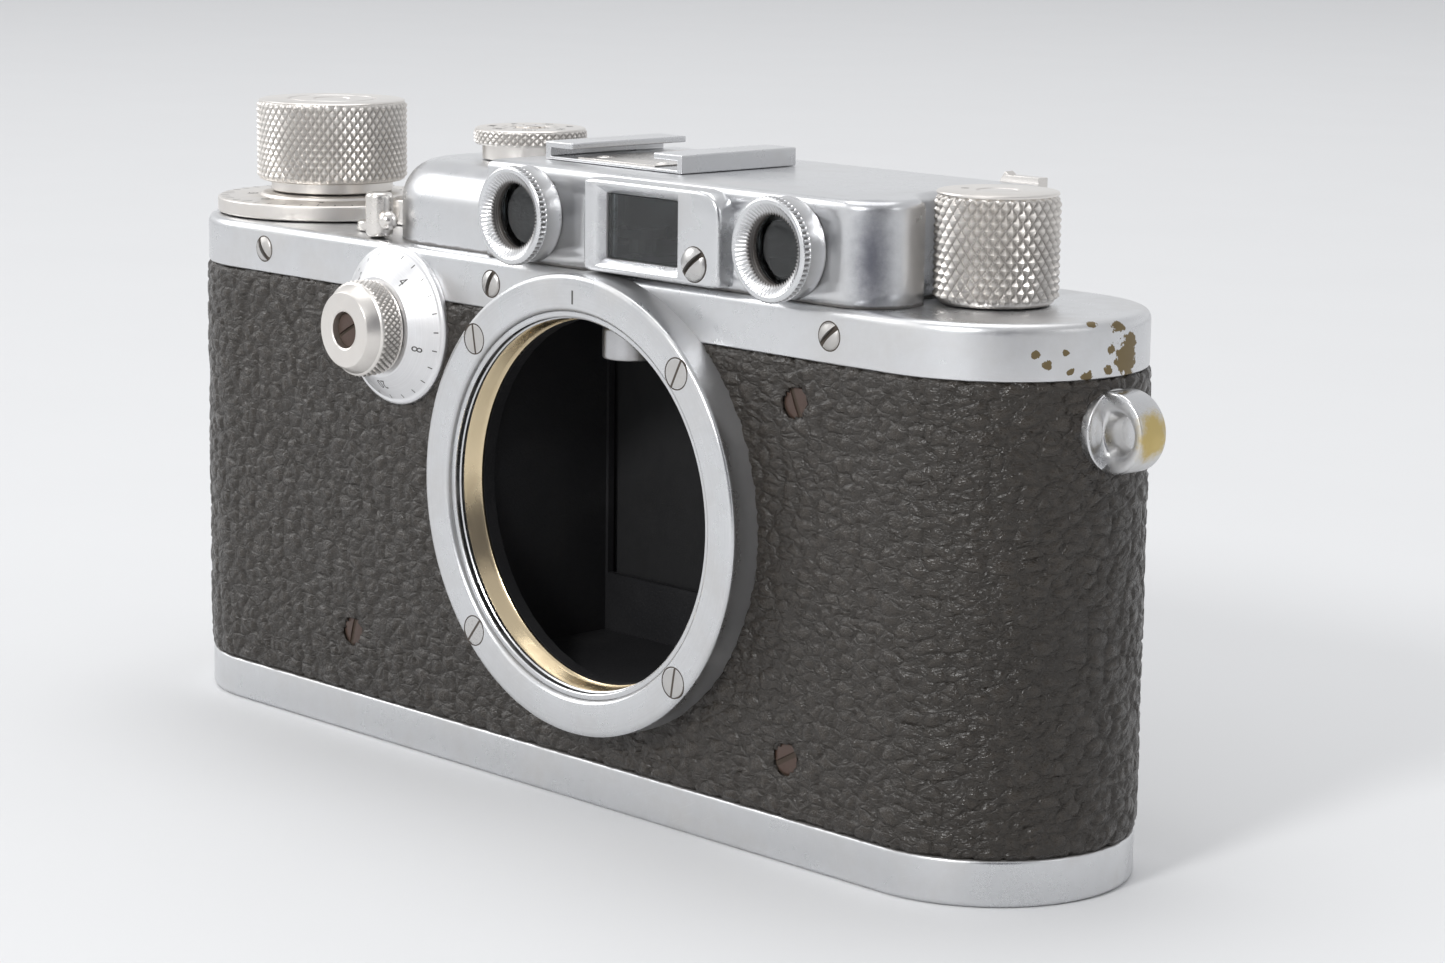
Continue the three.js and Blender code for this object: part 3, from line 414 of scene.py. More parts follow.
def handling_marks():
    """Soft smudges, and hair-fine scratches in three directions."""
    def wire(w, given):
        smudge = w.span(w.noise(w.place(), given["Smudge Scale"], 5.0, 0.6), 0.42, 0.72)
        hairs = None
        for turn, stretch in ((0.4, (14.0, 0.5, 0.9)), (1.3, (0.6, 0.7, 12.0)), (-0.7, (9.0, 0.4, 6.0))):
            turned_place = w.add("ShaderNodeVectorRotate", {"Vector": w.place(), "Angle": turn},
                                 rotation_type="AXIS_ANGLE")
            turned_place.inputs["Axis"].default_value = (0.2, 0.5, 0.8)
            thin = w.add("ShaderNodeMapping", {"Vector": turned_place.outputs[0], "Scale": stretch})
            line = w.span(w.noise(thin.outputs[0], 0.35, 1.0), 0.69, 0.73)
            hairs = line if hairs is None else w.math("MAXIMUM", hairs, line)
        return smudge, w.math("MULTIPLY", hairs, given["Hairs"])
    return shader_group("Handling Marks", [("Smudge Scale", FLOAT, 0.12), ("Hairs", FLOAT, 1.0)],
                        [("Smudge", FLOAT), ("Scratch", FLOAT)], wire)


def turning_lines():
    """Rings left by a lathe: noise along the distance from an axis, with the axis weight 0."""
    def wire(w, given):
        off = w.add("ShaderNodeVectorMath", {0: w.place(), 1: given["Centre"]}, operation="SUBTRACT")
        flat = w.add("ShaderNodeVectorMath", {0: off.outputs[0], 1: given["Across"]}, operation="MULTIPLY")
        far = w.add("ShaderNodeVectorMath", {0: flat.outputs[0]}, operation="LENGTH").outputs["Value"]
        rings = w.add("ShaderNodeTexNoise", {"W": far, "Scale": given["Rings"], "Detail": 3.0},
                      noise_dimensions="1D").outputs[0]
        return rings, w.span(rings, 0.3, 0.7)
    return shader_group("Turning Lines",
                        [("Centre", POINT3, (0, 0, 0)), ("Across", POINT3, (1, 1, 0)), ("Rings", FLOAT, 6.0)],
                        [("Height", FLOAT), ("Tone", FLOAT)], wire)


def worn_spot():
    """Ragged patch where plating is rubbed through, also used for a painted dark reflection: distance from a
    centre over its reach, with noise.
    """
    def wire(w, given):
        at = w.place()
        off = w.add("ShaderNodeVectorMath", {0: at, 1: given["Centre"]}, operation="SUBTRACT")
        part = w.add("ShaderNodeVectorMath", {0: off.outputs[0], 1: given["Reach"]}, operation="DIVIDE")
        far = w.add("ShaderNodeVectorMath", {0: part.outputs[0]}, operation="LENGTH").outputs["Value"]
        stray = w.math("MULTIPLY", w.math("SUBTRACT", w.noise(at, 1.1, 4.0, 0.7), 0.5), given["Ragged"])
        return [w.span(w.math("ADD", far, stray), 1.0, w.math("SUBTRACT", 0.94, given["Soft"]))]
    return shader_group("Wear And Reflection Patch", [("Centre", POINT3, (0, 0, 0)), ("Reach", POINT3, (1, 1, 1)),
                                      ("Ragged", FLOAT, 2.2), ("Soft", FLOAT, 0.0)],
                        [("Mask", FLOAT)], wire)


def grime_line():
    """Dirt that gathers in a seam at one height, broken by noise."""
    def wire(w, given):
        at = w.place()
        z = w.add("ShaderNodeSeparateXYZ", {0: at}).outputs[2]
        off = w.math("ABSOLUTE", w.math("SUBTRACT", z, given["Level"]))
        edge = w.math("MULTIPLY", w.noise(at, 0.5, 4.0), given["Height"])
        near = w.math("SUBTRACT", 1.0, w.math("DIVIDE", off, edge))
        return [w.span(near, 0.0, 0.7)]
    return shader_group("Seam Grime", [("Level", FLOAT, DECK_Z), ("Height", FLOAT, 0.7)],
                        [("Mask", FLOAT)], wire)


# Brown grime colour, used both for real dirt and for painted shade in hollows, slots and valleys.
GRIME_AND_SHADE = (0.045, 0.031, 0.020, 1.0)


def blank(name):
    """A new material with its wiring and its main shader."""
    material = bpy.data.materials.new(name)
    material.use_nodes = True
    return material, Wiring(material.node_tree), material.node_tree.nodes["Principled BSDF"]


def scaled(colour, factor=1.0):
    """A colour times a factor, no brighter than 1, with its alpha."""
    return (*[min(1.0, c * factor) for c in colour], 1.0)


def paint_material(name, colour, roughness, metallic=1.0, grain=9.0, bump=0.06, smudge=0.12, hairs=0.5,
                   lathe=None, seams=(), spots=(), spot_colour=(0.20, 0.155, 0.085, 1.0), ragged=2.2,
                   soft=0.0, variation=0.1, grime_and_shade_amount=0.8):
    """Metal or paint with grain, smudges, scratches, hollows darkened with grime and painted shade and, if
    asked, lathe rings, dirty seams (level, height) and patches (centre, reach): rubbed-through spots, and a
    painted dark reflection on the housing."""
    material = bpy.data.materials.get(name)
    if material:
        return material
    material, w, shade = blank(name)
    fine = w.add("ShaderNodeGroup", {"Scale": grain}, node_tree=satin_grain())
    marks = w.add("ShaderNodeGroup", {"Hairs": hairs}, node_tree=handling_marks())
    tint = w.blend(fine.outputs["Tone"], scaled(colour, 1 - variation), scaled(colour))
    tint = w.blend(w.math("MULTIPLY", marks.outputs["Smudge"], smudge * 1.6),
                   tint, (*[c * f for c, f in zip(colour, (0.74, 0.7, 0.64))], 1.0))
    gloss = w.math("ADD", w.math("MULTIPLY", marks.outputs["Smudge"], smudge), roughness)
    gloss = w.math("ADD", gloss, w.math("MULTIPLY", w.math("SUBTRACT", fine.outputs["Tone"], 0.5), 0.12))
    height = w.math("SUBTRACT", w.math("MULTIPLY", fine.outputs["Height"], bump),
                    w.math("MULTIPLY", marks.outputs["Scratch"], bump * 0.3))
    tint = w.blend(w.math("MULTIPLY", marks.outputs["Scratch"], 0.12), tint, scaled(colour, 1.15))
    if lathe:
        rings = w.add("ShaderNodeGroup", dict(zip(("Centre", "Across", "Rings"), lathe)),
                      node_tree=turning_lines())
        height = w.math("ADD", height, w.math("MULTIPLY", rings.outputs["Height"], bump * 2.0))
        tint = w.blend(w.math("MULTIPLY", rings.outputs["Tone"], 0.3), tint, scaled(colour, 0.8))
    # Patches get their own colour: rubbed-through plating, and on the housing a painted dark reflection.
    wear_and_reflection_mask = None
    for centre, reach in spots:
        spot = w.add("ShaderNodeGroup", {"Centre": centre, "Reach": reach, "Ragged": ragged, "Soft": soft},
                     node_tree=worn_spot())
        wear_and_reflection_mask = spot.outputs[0] if wear_and_reflection_mask is None else w.math("MAXIMUM", wear_and_reflection_mask, spot.outputs[0])
    if wear_and_reflection_mask is not None:
        tint = w.blend(wear_and_reflection_mask, tint, spot_colour)
        gloss = w.math("ADD", gloss, w.math("MULTIPLY", wear_and_reflection_mask, 0.16))
        height = w.math("SUBTRACT", height, w.math("MULTIPLY", wear_and_reflection_mask, 0.05))
    # Grime and painted shade: the groove attribute darkens hollows, slots and knurl valleys to the grime
    # colour; dirty seams add to the same mask.
    grime_and_shade_mask = w.math("MULTIPLY", w.add("ShaderNodeAttribute", attribute_name="groove").outputs["Fac"], grime_and_shade_amount)
    for level, reach in seams:
        line = w.add("ShaderNodeGroup", {"Level": level, "Height": reach}, node_tree=grime_line())
        grime_and_shade_mask = w.math("MAXIMUM", grime_and_shade_mask, w.math("MULTIPLY", line.outputs[0], 0.75))
    tint = w.blend(grime_and_shade_mask, tint, GRIME_AND_SHADE)
    gloss = w.math("ADD", gloss, w.math("MULTIPLY", grime_and_shade_mask, 0.35))
    relief = w.add("ShaderNodeBump", {"Height": height, "Distance": 0.1 * MM, "Strength": 1.0}).outputs[0]
    w.feed(shade, {"Base Color": tint, "Roughness": gloss, "Normal": relief})
    if metallic > 0.5:
        w.feed(shade, {"Metallic": w.math("SUBTRACT", 1.0, w.math("MULTIPLY", grime_and_shade_mask, 0.8))})
    return material


def glass_material(name, tint, roughness=0.03):
    """Clear glass with a faint film of dust."""
    material = bpy.data.materials.get(name)
    if material:
        return material
    material, w, shade = blank(name)
    film = w.span(w.noise(w.place(), 0.25, 2.0), 0.35, 0.8)
    w.feed(shade, {"Base Color": w.blend(film, scaled(tint), scaled(tint, 0.8)), "Roughness": roughness,
                   "Transmission Weight": 1.0, "IOR": 1.46})
    return material


def leather_material(look):
    """Pebbled black leather worn a little brown: creases darkened with painted shade, pores and a dry sheen
    on the crowns.
    """
    material = bpy.data.materials.get("Pebbled leather")
    if material:
        return material
    material, w, shade = blank("Pebbled leather")
    at = w.place((0.8, 0.8, 1.3))
    wander = w.add("ShaderNodeTexNoise", {"Vector": at, "Scale": 0.9, "Detail": 2.0}).outputs["Color"]
    stray = w.add("ShaderNodeVectorMath", {0: wander, 1: (0.9, 0.9, 0.9)}, operation="MULTIPLY").outputs[0]
    warped = w.add("ShaderNodeVectorMath", {0: at, 1: stray}, operation="ADD").outputs[0]
    cells, small = (
        w.add("ShaderNodeTexVoronoi", {"Vector": warped, "Scale": scale, "Randomness": 1.0},
              feature="DISTANCE_TO_EDGE").outputs["Distance"] for scale in (0.62, 2.3))
    crease = w.math("POWER", w.span(cells, 0.0, 0.34), 0.6)
    wrinkle = w.math("POWER", w.span(small, 0.0, 0.4), 0.6)
    pores = w.noise(at, 7.0, 3.0, 0.6)
    broad = w.noise(at, 0.045, 3.0)
    # Painted shade in the creases: the crease mask from the mesh and the cell edges darken the tone towards
    # the deep leather colour.
    crease_shade = w.math("MAXIMUM", w.add("ShaderNodeAttribute", attribute_name="groove").outputs["Fac"],
                    w.math("MULTIPLY", w.math("SUBTRACT", 1.0, crease), 0.5))
    tone = w.blend(broad, scaled(look.leather_dark), scaled(look.leather_light))
    tone = w.blend(w.math("MULTIPLY", crease_shade, 0.85), tone, scaled(look.leather_dark, 0.3))
    dust = w.span(w.noise(at, 0.9, 6.0, 0.75), 0.66, 0.80)
    tone = w.blend(w.math("MULTIPLY", dust, 0.15), tone, (0.18, 0.16, 0.13, 1.0))
    height = w.math("ADD", w.math("MULTIPLY", crease, 0.55), w.math("MULTIPLY", wrinkle, 0.12))
    height = w.math("ADD", height, w.math("MULTIPLY", pores, 0.06))
    gloss = w.math("ADD", look.leather_roughness, w.math("MULTIPLY", crease_shade, 0.25))
    gloss = w.math("ADD", gloss, w.math("MULTIPLY", w.math("SUBTRACT", pores, 0.5), 0.3))
    relief = w.add("ShaderNodeBump", {"Height": height, "Distance": 0.3 * MM, "Strength": 1.0}).outputs[0]
    w.feed(shade, {"Base Color": tone, "Roughness": gloss, "Normal": relief, "Specular IOR Level": 0.5,
                   "Sheen Weight": 0.02})
    return material


UP_AXIS, FRONT_AXIS = (1, 1, 0), (1, 0, 1)


def finishes(name):
    """The finish of a piece by its maker's name, built on first use."""
    look = bpy.context.scene.camera_finish
    if name == "leather":
        return leather_material(look)
    if name == "window glass":
        return glass_material("Window glass", look.glass_tint)
    chrome, nickel = tuple(look.chrome), tuple(look.nickel)
    kits = {
        "cover chrome": dict(colour=chrome, roughness=look.chrome_roughness, spots=WORN_PATCHES, hairs=0.6,
                             smudge=0.18),
        # The housing's one spot is no wear: it is a painted dark reflection, soft and bluish, down the right
        # front corner.
        "housing chrome": dict(colour=chrome, roughness=look.chrome_roughness, seams=[(DECK_Z + 0.05, 0.7)],
                               spots=[((47.4, -12.8, 60.2), (3.3, 3.6, 11.0))], ragged=0.35, soft=1.0,
                               spot_colour=(0.15, 0.153, 0.18, 1.0)),
        "bezel chrome": dict(colour=chrome, roughness=0.24, smudge=0.1, grime_and_shade_amount=0.6, variation=0.06),
        "base chrome": dict(colour=chrome, roughness=look.chrome_roughness, seams=[(BASE_TOP_Z, 0.4)],
                            hairs=1.0, smudge=0.2),
        "plate chrome": dict(colour=chrome, roughness=look.chrome_roughness - 0.03),
        "ring chrome": dict(colour=chrome, roughness=0.25, hairs=1.0, smudge=0.2, variation=0.14,
                            lathe=(tuple(MOUNT), FRONT_AXIS, 5.0)),
        "thread brass": dict(colour=(0.80, 0.66, 0.44), roughness=0.2, grain=5.0, variation=0.25, smudge=0.2,
                             lathe=(tuple(MOUNT), FRONT_AXIS, 3.0)),
        "knurled nickel": dict(colour=nickel, roughness=0.31, grain=7.0, smudge=0.08, grime_and_shade_amount=0.7),
        "dial nickel": dict(colour=nickel, roughness=0.32, smudge=0.16,
                            lathe=((-17.1, 0, 0), UP_AXIS, 9.0)),
        "counter nickel": dict(colour=nickel, roughness=0.34, smudge=0.16,
                               lathe=((-52.5, 0, 0), UP_AXIS, 9.0)),
        "rim nickel": dict(colour=nickel, roughness=0.24, smudge=0.14, grime_and_shade_amount=0.85),
        "slow dial chrome": dict(colour=(0.83, 0.83, 0.84), roughness=0.36,
                                 lathe=((-21.8, 0, 46.9), FRONT_AXIS, 8.0)),
        "screw steel": dict(colour=(0.62, 0.61, 0.60), roughness=0.27, grain=5.0, smudge=0.3, variation=0.25,
                            grime_and_shade_amount=0.95),
        "rusty steel": dict(colour=(0.075, 0.042, 0.03), roughness=0.42, metallic=0.0, grain=5.0, bump=0.25,
                            variation=0.5, grime_and_shade_amount=0.9),
        "lug nickel": dict(colour=chrome, roughness=0.17, smudge=0.3,
                           spots=[((72.0, 0, LUG_Z), (2.3, 2.6, 3.6)), ((-72.0, 0, LUG_Z), (2.0, 2.6, 3.4))],
                           spot_colour=(0.56, 0.44, 0.19, 1.0), ragged=0.8, soft=0.5),
        "inner black": dict(colour=(0.018, 0.018, 0.02), roughness=0.55, metallic=0.0, bump=0.5, grain=3.0,
                            variation=0.5, hairs=0.3, smudge=0.2),
        "shutter cloth": dict(colour=(0.012, 0.012, 0.013), roughness=0.85, metallic=0.0, bump=0.8,
                              grain=14.0, hairs=0.0),
        "inner steel": dict(colour=(0.52, 0.52, 0.53), roughness=0.3, grain=4.0, smudge=0.3, variation=0.2),
        "inner brass": dict(colour=(0.55, 0.40, 0.19), roughness=0.33, grain=5.0, smudge=0.3, variation=0.3),
        "silvered face": dict(colour=(0.80, 0.82, 0.84), roughness=0.06, bump=0.0, hairs=0.1, smudge=0.05),
        "engraving fill": dict(colour=(0.10, 0.095, 0.09), roughness=0.6, metallic=0.0, variation=0.4),
    }
    return paint_material(name.capitalize(), **kits[name])


WORN_PATCHES = (
    ((66.2, 1.9, 51.9), (1.1, 1.7, 1.9)), ((66.3, 2.6, 53.4), (0.9, 1.1, 0.9)),
    ((64.7, -7.1, 51.8), (0.5, 0.55, 0.5)), ((64.1, -8.1, 52.8), (0.4, 0.4, 0.35)),
    ((65.5, -5.5, 52.9), (0.35, 0.4, 0.3)), ((65.7, -5.0, 51.1), (0.4, 0.45, 0.4)),
    ((66.2, -3.2, 50.6), (0.6, 0.7, 0.45)), ((66.5, -0.7, 51.0), (0.45, 0.6, 0.5)),
    ((66.5, -0.3, 53.0), (0.4, 0.5, 0.5)), ((66.0, -2.6, 55.4), (0.5, 0.7, 0.4)),
    ((66.3, 0.6, 54.9), (0.6, 1.0, 0.6)), ((-66.2, 2.0, 52.6), (0.8, 1.2, 0.9)),
    ((-65.7, -4.1, 50.8), (0.4, 0.5, 0.4)), ((63.0, 9.6, 51.2), (0.5, 0.5, 0.4)),
)


# ---- sizes and colours a user may change ---------------------------------------
class CameraFinish(bpy.types.PropertyGroup):
    """Colours and gloss of the camera body."""

    chrome: FloatVectorProperty(name="Chrome", description="Satin chrome of the covers", subtype="COLOR",
                                size=3, min=0.0, max=1.0, default=(0.70, 0.707, 0.72))
    chrome_roughness: FloatProperty(name="Chrome roughness", description="How matt the covers are",
                                    subtype="FACTOR", min=0.05, max=1.0, default=0.28)
    nickel: FloatVectorProperty(name="Nickel", description="Warmer plating of knobs and dials",
                                subtype="COLOR", size=3, min=0.0, max=1.0, default=(0.80, 0.77, 0.735))
    leather_light: FloatVectorProperty(name="Leather", description="Worn tone of the leather",
                                       subtype="COLOR", size=3, min=0.0, max=1.0,
                                       default=(0.037, 0.0295, 0.0222))
    leather_dark: FloatVectorProperty(name="Deep leather", description="Fresh tone of the leather",
                                      subtype="COLOR", size=3, min=0.0, max=1.0,
                                      default=(0.021, 0.0168, 0.0128))
    leather_roughness: FloatProperty(name="Leather roughness", description="How dry the leather looks",
                                     subtype="FACTOR", min=0.1, max=1.0, default=0.27)
    glass_tint: FloatVectorProperty(name="Window glass", description="Tint of the windows", subtype="COLOR",
                                    size=3, min=0.0, max=1.0, default=(0.42, 0.45, 0.46))


class CameraSizes(bpy.types.PropertyGroup):
    """Pattern sizes that don't change the camera's overall dimensions."""

    pebble: FloatProperty(name="Pebble size", description="Width of one pebble of the leather",
                          subtype="DISTANCE", unit="LENGTH", min=0.0005, max=0.006, default=0.0022)
    pebble_depth: FloatProperty(name="Pebble depth", description="How deep the creases are",
                                subtype="DISTANCE", unit="LENGTH", min=0.0, max=0.0005, default=0.00030)
    rewind_teeth: IntProperty(name="Rewind knurl", description="Diamonds round the rewind knob",
                              min=12, max=80, default=32)
    winding_teeth: IntProperty(name="Winding knurl", description="Diamonds round the winding knob",
                               min=12, max=100, default=54)
    bezel_teeth: IntProperty(name="Bezel teeth", description="Teeth on each window bezel",
                             min=20, max=120, default=60)


class StageLook(bpy.types.PropertyGroup):
    """Floor and light."""

    floor: FloatVectorProperty(name="Floor", description="Colour of the plain floor", subtype="COLOR",
                               size=3, min=0.0, max=1.0, default=(0.72, 0.724, 0.73))
    light: FloatProperty(name="Light", description="Strength of the soft lights", min=0.0, max=10.0,
                         default=1.0)
    focal: FloatProperty(name="Lens", description="Focal length of the view", subtype="DISTANCE_CAMERA",
                         min=20.0, max=200.0, default=90.39)


# ---- plans and hides --------------------------------------------------------------
def curve3(a, b, c, n):
    """Points on the parabola from a to c with its corner at b, without the last."""
    s = np.linspace(0, 1, n)[:-1, None]
    return np.array(a) * (1 - s) ** 2 + 2 * np.array(b) * s * (1 - s) + np.array(c) * s**2


HOUSING_FRONT_LINES = (-4.2, 2.8, 12.65, 23.15, 34.0, 41.0)
HOUSING_BACK_LINES = (40.1, 34.9, 20.5, 15.3)


def housing_outline(inset):
    """Plan of the housing: straight front and back, soft right corners, a hollow round the knob."""
    x0, x1, y0, y1 = -7.6 + inset, 49.2 - inset, -13.9 + inset, 12.7 - inset
    r, knob = 7.3 + inset, middle("rewind_knob")[0]
    xa = x1 - 0.9
    dy = math.sqrt(r * r - (xa - knob) ** 2)
    t = np.linspace(math.atan2(-dy, xa - knob), math.atan2(dy, xa - knob) - TURN, 25)[:-1]
    front = [(x, y0) for x in (x0, *HOUSING_FRONT_LINES)]
    back = [(x, y1) for x in (x1 - 4.0, *HOUSING_BACK_LINES, x0)]
    return np.vstack([
        front,
        curve3((x1 - 4.4, y0), (x1 - 2.2, y0 + 0.3), (x1 - 0.9, y0 + 2.4), 9),
        curve3((x1 - 0.9, y0 + 2.4), (x1 + 0.1, y0 + 4.2), (xa, -dy), 8),
        np.column_stack([knob + r * np.cos(t), r * np.sin(t)]),
        curve3((xa, dy), (x1 + 0.1, y1 - 3.6), (x1 - 0.9, y1 - 2.0), 8),
        curve3((x1 - 0.9, y1 - 2.0), (x1 - 2.0, y1), (x1 - 4.0, y1), 9),
        back,
    ])


def step_outline(inset):
    """Plan of the low step: two straight sides and two large rounded left corners."""
    x0, x1, half, r = -30.5 + inset, -7.4, 12.75 - inset, 11.0 - inset
    t = np.linspace(0, math.pi / 2, 17)
    upper = np.column_stack([x0 + r - r * np.sin(t), half - r + r * np.cos(t)])
    lower = np.column_stack([x0 + r - r * np.cos(t), -half + r - r * np.sin(t)])
    along = np.linspace(x0 + r, x1, 6)[1:]
    return np.vstack([lower, np.column_stack([along, np.full(5, -half)]),
                      np.column_stack([along[::-1], np.full(5, half)]), upper])


def pebbles(across, up, cell, seed):
    """Height from 0 to 1 of a pebbled hide: the gap between the two nearest of a jittered set of
    points, one in each cell, so it is 0 on the creases and 1 on the crowns."""
    rng = np.random.default_rng(seed)
    sway = 0.35 * np.sin(up * 0.7 + 2 * np.sin(across * 0.23)) + 0.3 * np.sin(across * 0.9 + up * 0.4)
    gx, gz = (across + sway) / (cell * 1.25) + 2, (up + 0.5 * sway) / (cell * 0.8) + 2
    i, j = np.floor(gx).astype(int), np.floor(gz).astype(int)
    jitter = rng.random((i.max() + 3, j.max() + 3, 2)) * 0.92
    near = np.stack([
        np.hypot(gx - i - di - jitter[i + di, j + dj, 0], gz - j - dj - jitter[i + di, j + dj, 1])
        for di in (-1, 0, 1) for dj in (-1, 0, 1)])
    near = np.partition(near, 1, axis=0)
    gap = np.clip((near[1] - near[0]) / 0.30, 0, 1)
    return gap * gap * (3 - 2 * gap)


def hide(c, f, sizes, seed, hole=None, step=0.45):
    """Leather wrapped on the plan (c + r cos f, r sin f): r falls by the pebble depth in each crease,
    dips at the screws and turns in at the top and bottom edges."""
    lo, hi = low("leather_covering"), high("leather_covering")
    reach = min(-lo[1], BODY_HALF_DEPTH - 0.02)
    span = np.concatenate([[0], np.cumsum(np.hypot(np.diff(c + reach * np.cos(f)),
                                                    np.diff(reach * np.sin(f))))])
    s = np.linspace(0, span[-1], int(span[-1] / step))[:, None]
    c, f = np.interp(s, span, c), np.interp(s, span, f)
    z = np.linspace(lo[2] + 0.04, hi[2] - 0.04, int((hi[2] - lo[2]) / step))[None, :]
    s, z = np.broadcast_arrays(s, z)
    rise = pebbles(s, z, sizes.pebble / MM, seed) * (0.75 + 0.25 * pebbles(s, z, 3.1, seed + 1))
    swell = 0.04 * (np.sin(s * 0.31) * np.sin(z * 0.43 + s * 0.05))
    r = reach - sizes.pebble_depth / MM * (1 - rise) - 0.04 + swell
    edge = np.minimum(z - z.min(), z.max() - z)
    r = r - 0.3 * np.clip(1 - edge / 0.45, 0, 1) ** 2
    x, y = c + r * np.cos(f), r * np.sin(f)
    spots = [(*middle(f"body_screw_{k}")[[0, 2]], 1.74) for k in (1, 2, 3)] if hole else []
    for sx, sz, radius in spots:
        away = np.maximum(np.hypot(x - sx, z - sz) + 50 * (y > 0), 0.01)
        snap = np.where(np.abs(away - radius) < 0.36, radius / away, 1.0)
        x, z = sx + (x - sx) * snap, sz + (z - sz) * snap
        r = r - 0.16 * np.clip((2.3 - away) / 0.5, 0, 1)
    r = np.minimum(r, reach)
    points = np.stack([np.where(np.cos(f) ** 2 < 1e-9, x, c + r * np.cos(f)), r * np.sin(f), z], -1)
    keep = None
    if hole:
        heart = (points[1:, 1:] + points[:-1, :-1]) / 2
        keep = np.ones(heart.shape[:2], bool)
        for sx, sz, radius in (*spots, (MOUNT[0], MOUNT[2], hole)):
            keep &= (np.hypot(heart[..., 0] - sx, heart[..., 2] - sz) > radius - 0.05) | (heart[..., 1] > 0)
    # The creases, where rise is low, are marked for painted shade in the leather's finish.
    return sheet(points, keep=keep, groove=np.clip(0.6 - rise, 0, 1))


def finder_square(half, top_right, centre, inset=0.0, n=16):
    """Square path bent onto a rectangle: (a, b) in -1..1 times the half sizes about a centre.

    half = (left, right, down, up). Points inside a corner's box are pulled onto its arc."""
    t = np.linspace(-1, 1, n + 1)[:-1]
    a = np.concatenate([t, np.ones(n), -t, -np.ones(n)])
    b = np.concatenate([-np.ones(n), t, np.ones(n), -t])
    left, right, down, up = (h - inset for h in half)
    x, z = np.where(a < 0, a * left, a * right), np.where(b < 0, b * down, b * up)
    for sx, sz, r in ((1, 1, top_right), (-1, 1, 0.6), (1, -1, 0.6), (-1, -1, 0.6)):
        r = max(r - inset, 0.05) if top_right else 0.12
        cx = (right if sx > 0 else left) - r
        cz = (up if sz > 0 else down) - r
        vx, vz = sx * x - cx, sz * z - cz
        inside = (vx > 0) & (vz > 0)
        length = np.where(inside, np.hypot(vx, vz), 1.0)
        reach = np.where(inside, np.maximum(vx, vz), 0.0)
        x = np.where(inside, sx * (cx + vx / length * reach), x)
        z = np.where(inside, sz * (cz + vz / length * reach), z)
    return x + centre[0], z + centre[1]


# ---- one operator for each piece or group of like pieces ---------------------------
class CAMERA_OT_leather(bpy.types.Operator):
    """Pebbled leather: one hide round the front and both ends, one across the back"""

    bl_idname = "camera.leather"
    bl_label = "Leather"

    def execute(self, context):
        sizes = context.scene.camera_sizes
        bend = np.linspace(math.pi / 2, 3 * math.pi / 2, 31)
        line = np.array([-BODY_END_X, BODY_END_X])
        c = np.concatenate([[-44.0], np.full(31, -BODY_END_X), line[1:], np.full(30, BODY_END_X), [44.0]])
        f = np.concatenate([[math.pi / 2], bend, [3 * math.pi / 2], bend[1:] + math.pi,
                            [5 * math.pi / 2]])
        front = build("leather_front", [hide(c, f, sizes, 7, hole=21.6)], finishes("leather"),
                      "camera_body", ["leather_covering"], sharp=60, closed=False)
        across, up = np.array([44.0, -44.0]), np.full(2, math.pi / 2)
        back = build("leather_back", [hide(across, up, sizes, 21, step=0.6)], finishes("leather"),
                     "camera_body", ["leather_covering"], sharp=60, closed=False)
        for thing in (front, back):
            thing.data.flip_normals()
            wall = thing.modifiers.new("Leather thickness", "SOLIDIFY")
            wall.thickness, wall.offset = 0.3 * MM, -1.0
        return {"FINISHED"}


class CAMERA_OT_top_cover(bpy.types.Operator):
    """Top cover: skirt with a rolled edge and the flat deck"""

    bl_idname = "camera.top_cover"
    bl_label = "Top cover"

    def execute(self, context):
        outer = rounded([(14.42, SKIRT_Z), (BODY_HALF_DEPTH, SKIRT_Z + 0.12), (BODY_HALF_DEPTH, DECK_Z),
                         (12.0, DECK_Z)], 1.1, 9)
        points = stadium([(0.0, 54.7), (13.7, 54.7), (13.7, SKIRT_Z), *outer, (0.0, DECK_Z)])
        x, z = points[..., 0] - MOUNT[0], points[..., 2]
        cut = MOUNT[2] + np.sqrt(np.maximum(SKIRT_CUT_R**2 - x**2, 0)) - SKIRT_Z
        lift = np.where((points[..., 1] < -13) & (z < 51.0), np.maximum(cut, 0), 0)
        points[..., 2] = z + lift
        build("top_cover", [sheet(points, wrap_u=True)], finishes("cover chrome"), "camera_body",
              ["top_plate"])
        return {"FINISHED"}


class CAMERA_OT_base_cover(bpy.types.Operator):
    """Base cover: dished tray with round wells for the lock key and the tripod bush"""

    bl_idname = "camera.base_cover"
    bl_label = "Base cover"

    def execute(self, context):
        outer = rounded([(12.5, 0.0), (BODY_HALF_DEPTH, 0.0), (BODY_HALF_DEPTH, BASE_TOP_Z - 0.02),
                         (13.7, BASE_TOP_Z - 0.02)], 0.7, 8)[1:]
        wall = stadium([*outer, (13.7, 1.2), (0.0, 1.2)])
        rim = wall[:, 0]
        right, left = np.arange(26, 119), np.concatenate([np.arange(118, len(rim)), np.arange(0, 27)])
        split = np.linspace(1, -1, 9)[1:-1] * -rim[26, 1]
        sheets = [sheet(wall, wrap_u=True)]
        for part, sign, hole, radius, depth in ((right, 1, KEY_X, 7.2, 1.65), (left, -1, BUSH_X, 6.4, 4.6)):
            seam = np.column_stack([np.zeros(7), sign * split, np.zeros(7)])
            loop = np.vstack([rim[part], seam])
            angle = np.arctan2(loop[:, 1], loop[:, 0] - hole)
            ring = np.column_stack([hole + radius * np.cos(angle), radius * np.sin(angle),
                                    np.zeros(len(angle))])
            rows = [loop, ring, ring + (0, 0, 0.15), ring + (0, 0, depth)]
            sheets.append(sheet(np.stack(rows, 1), wrap_u=True, caps="z"))
        build("base_cover", sheets, finishes("base chrome"), "base", ["base_plate"])
        return {"FINISHED"}


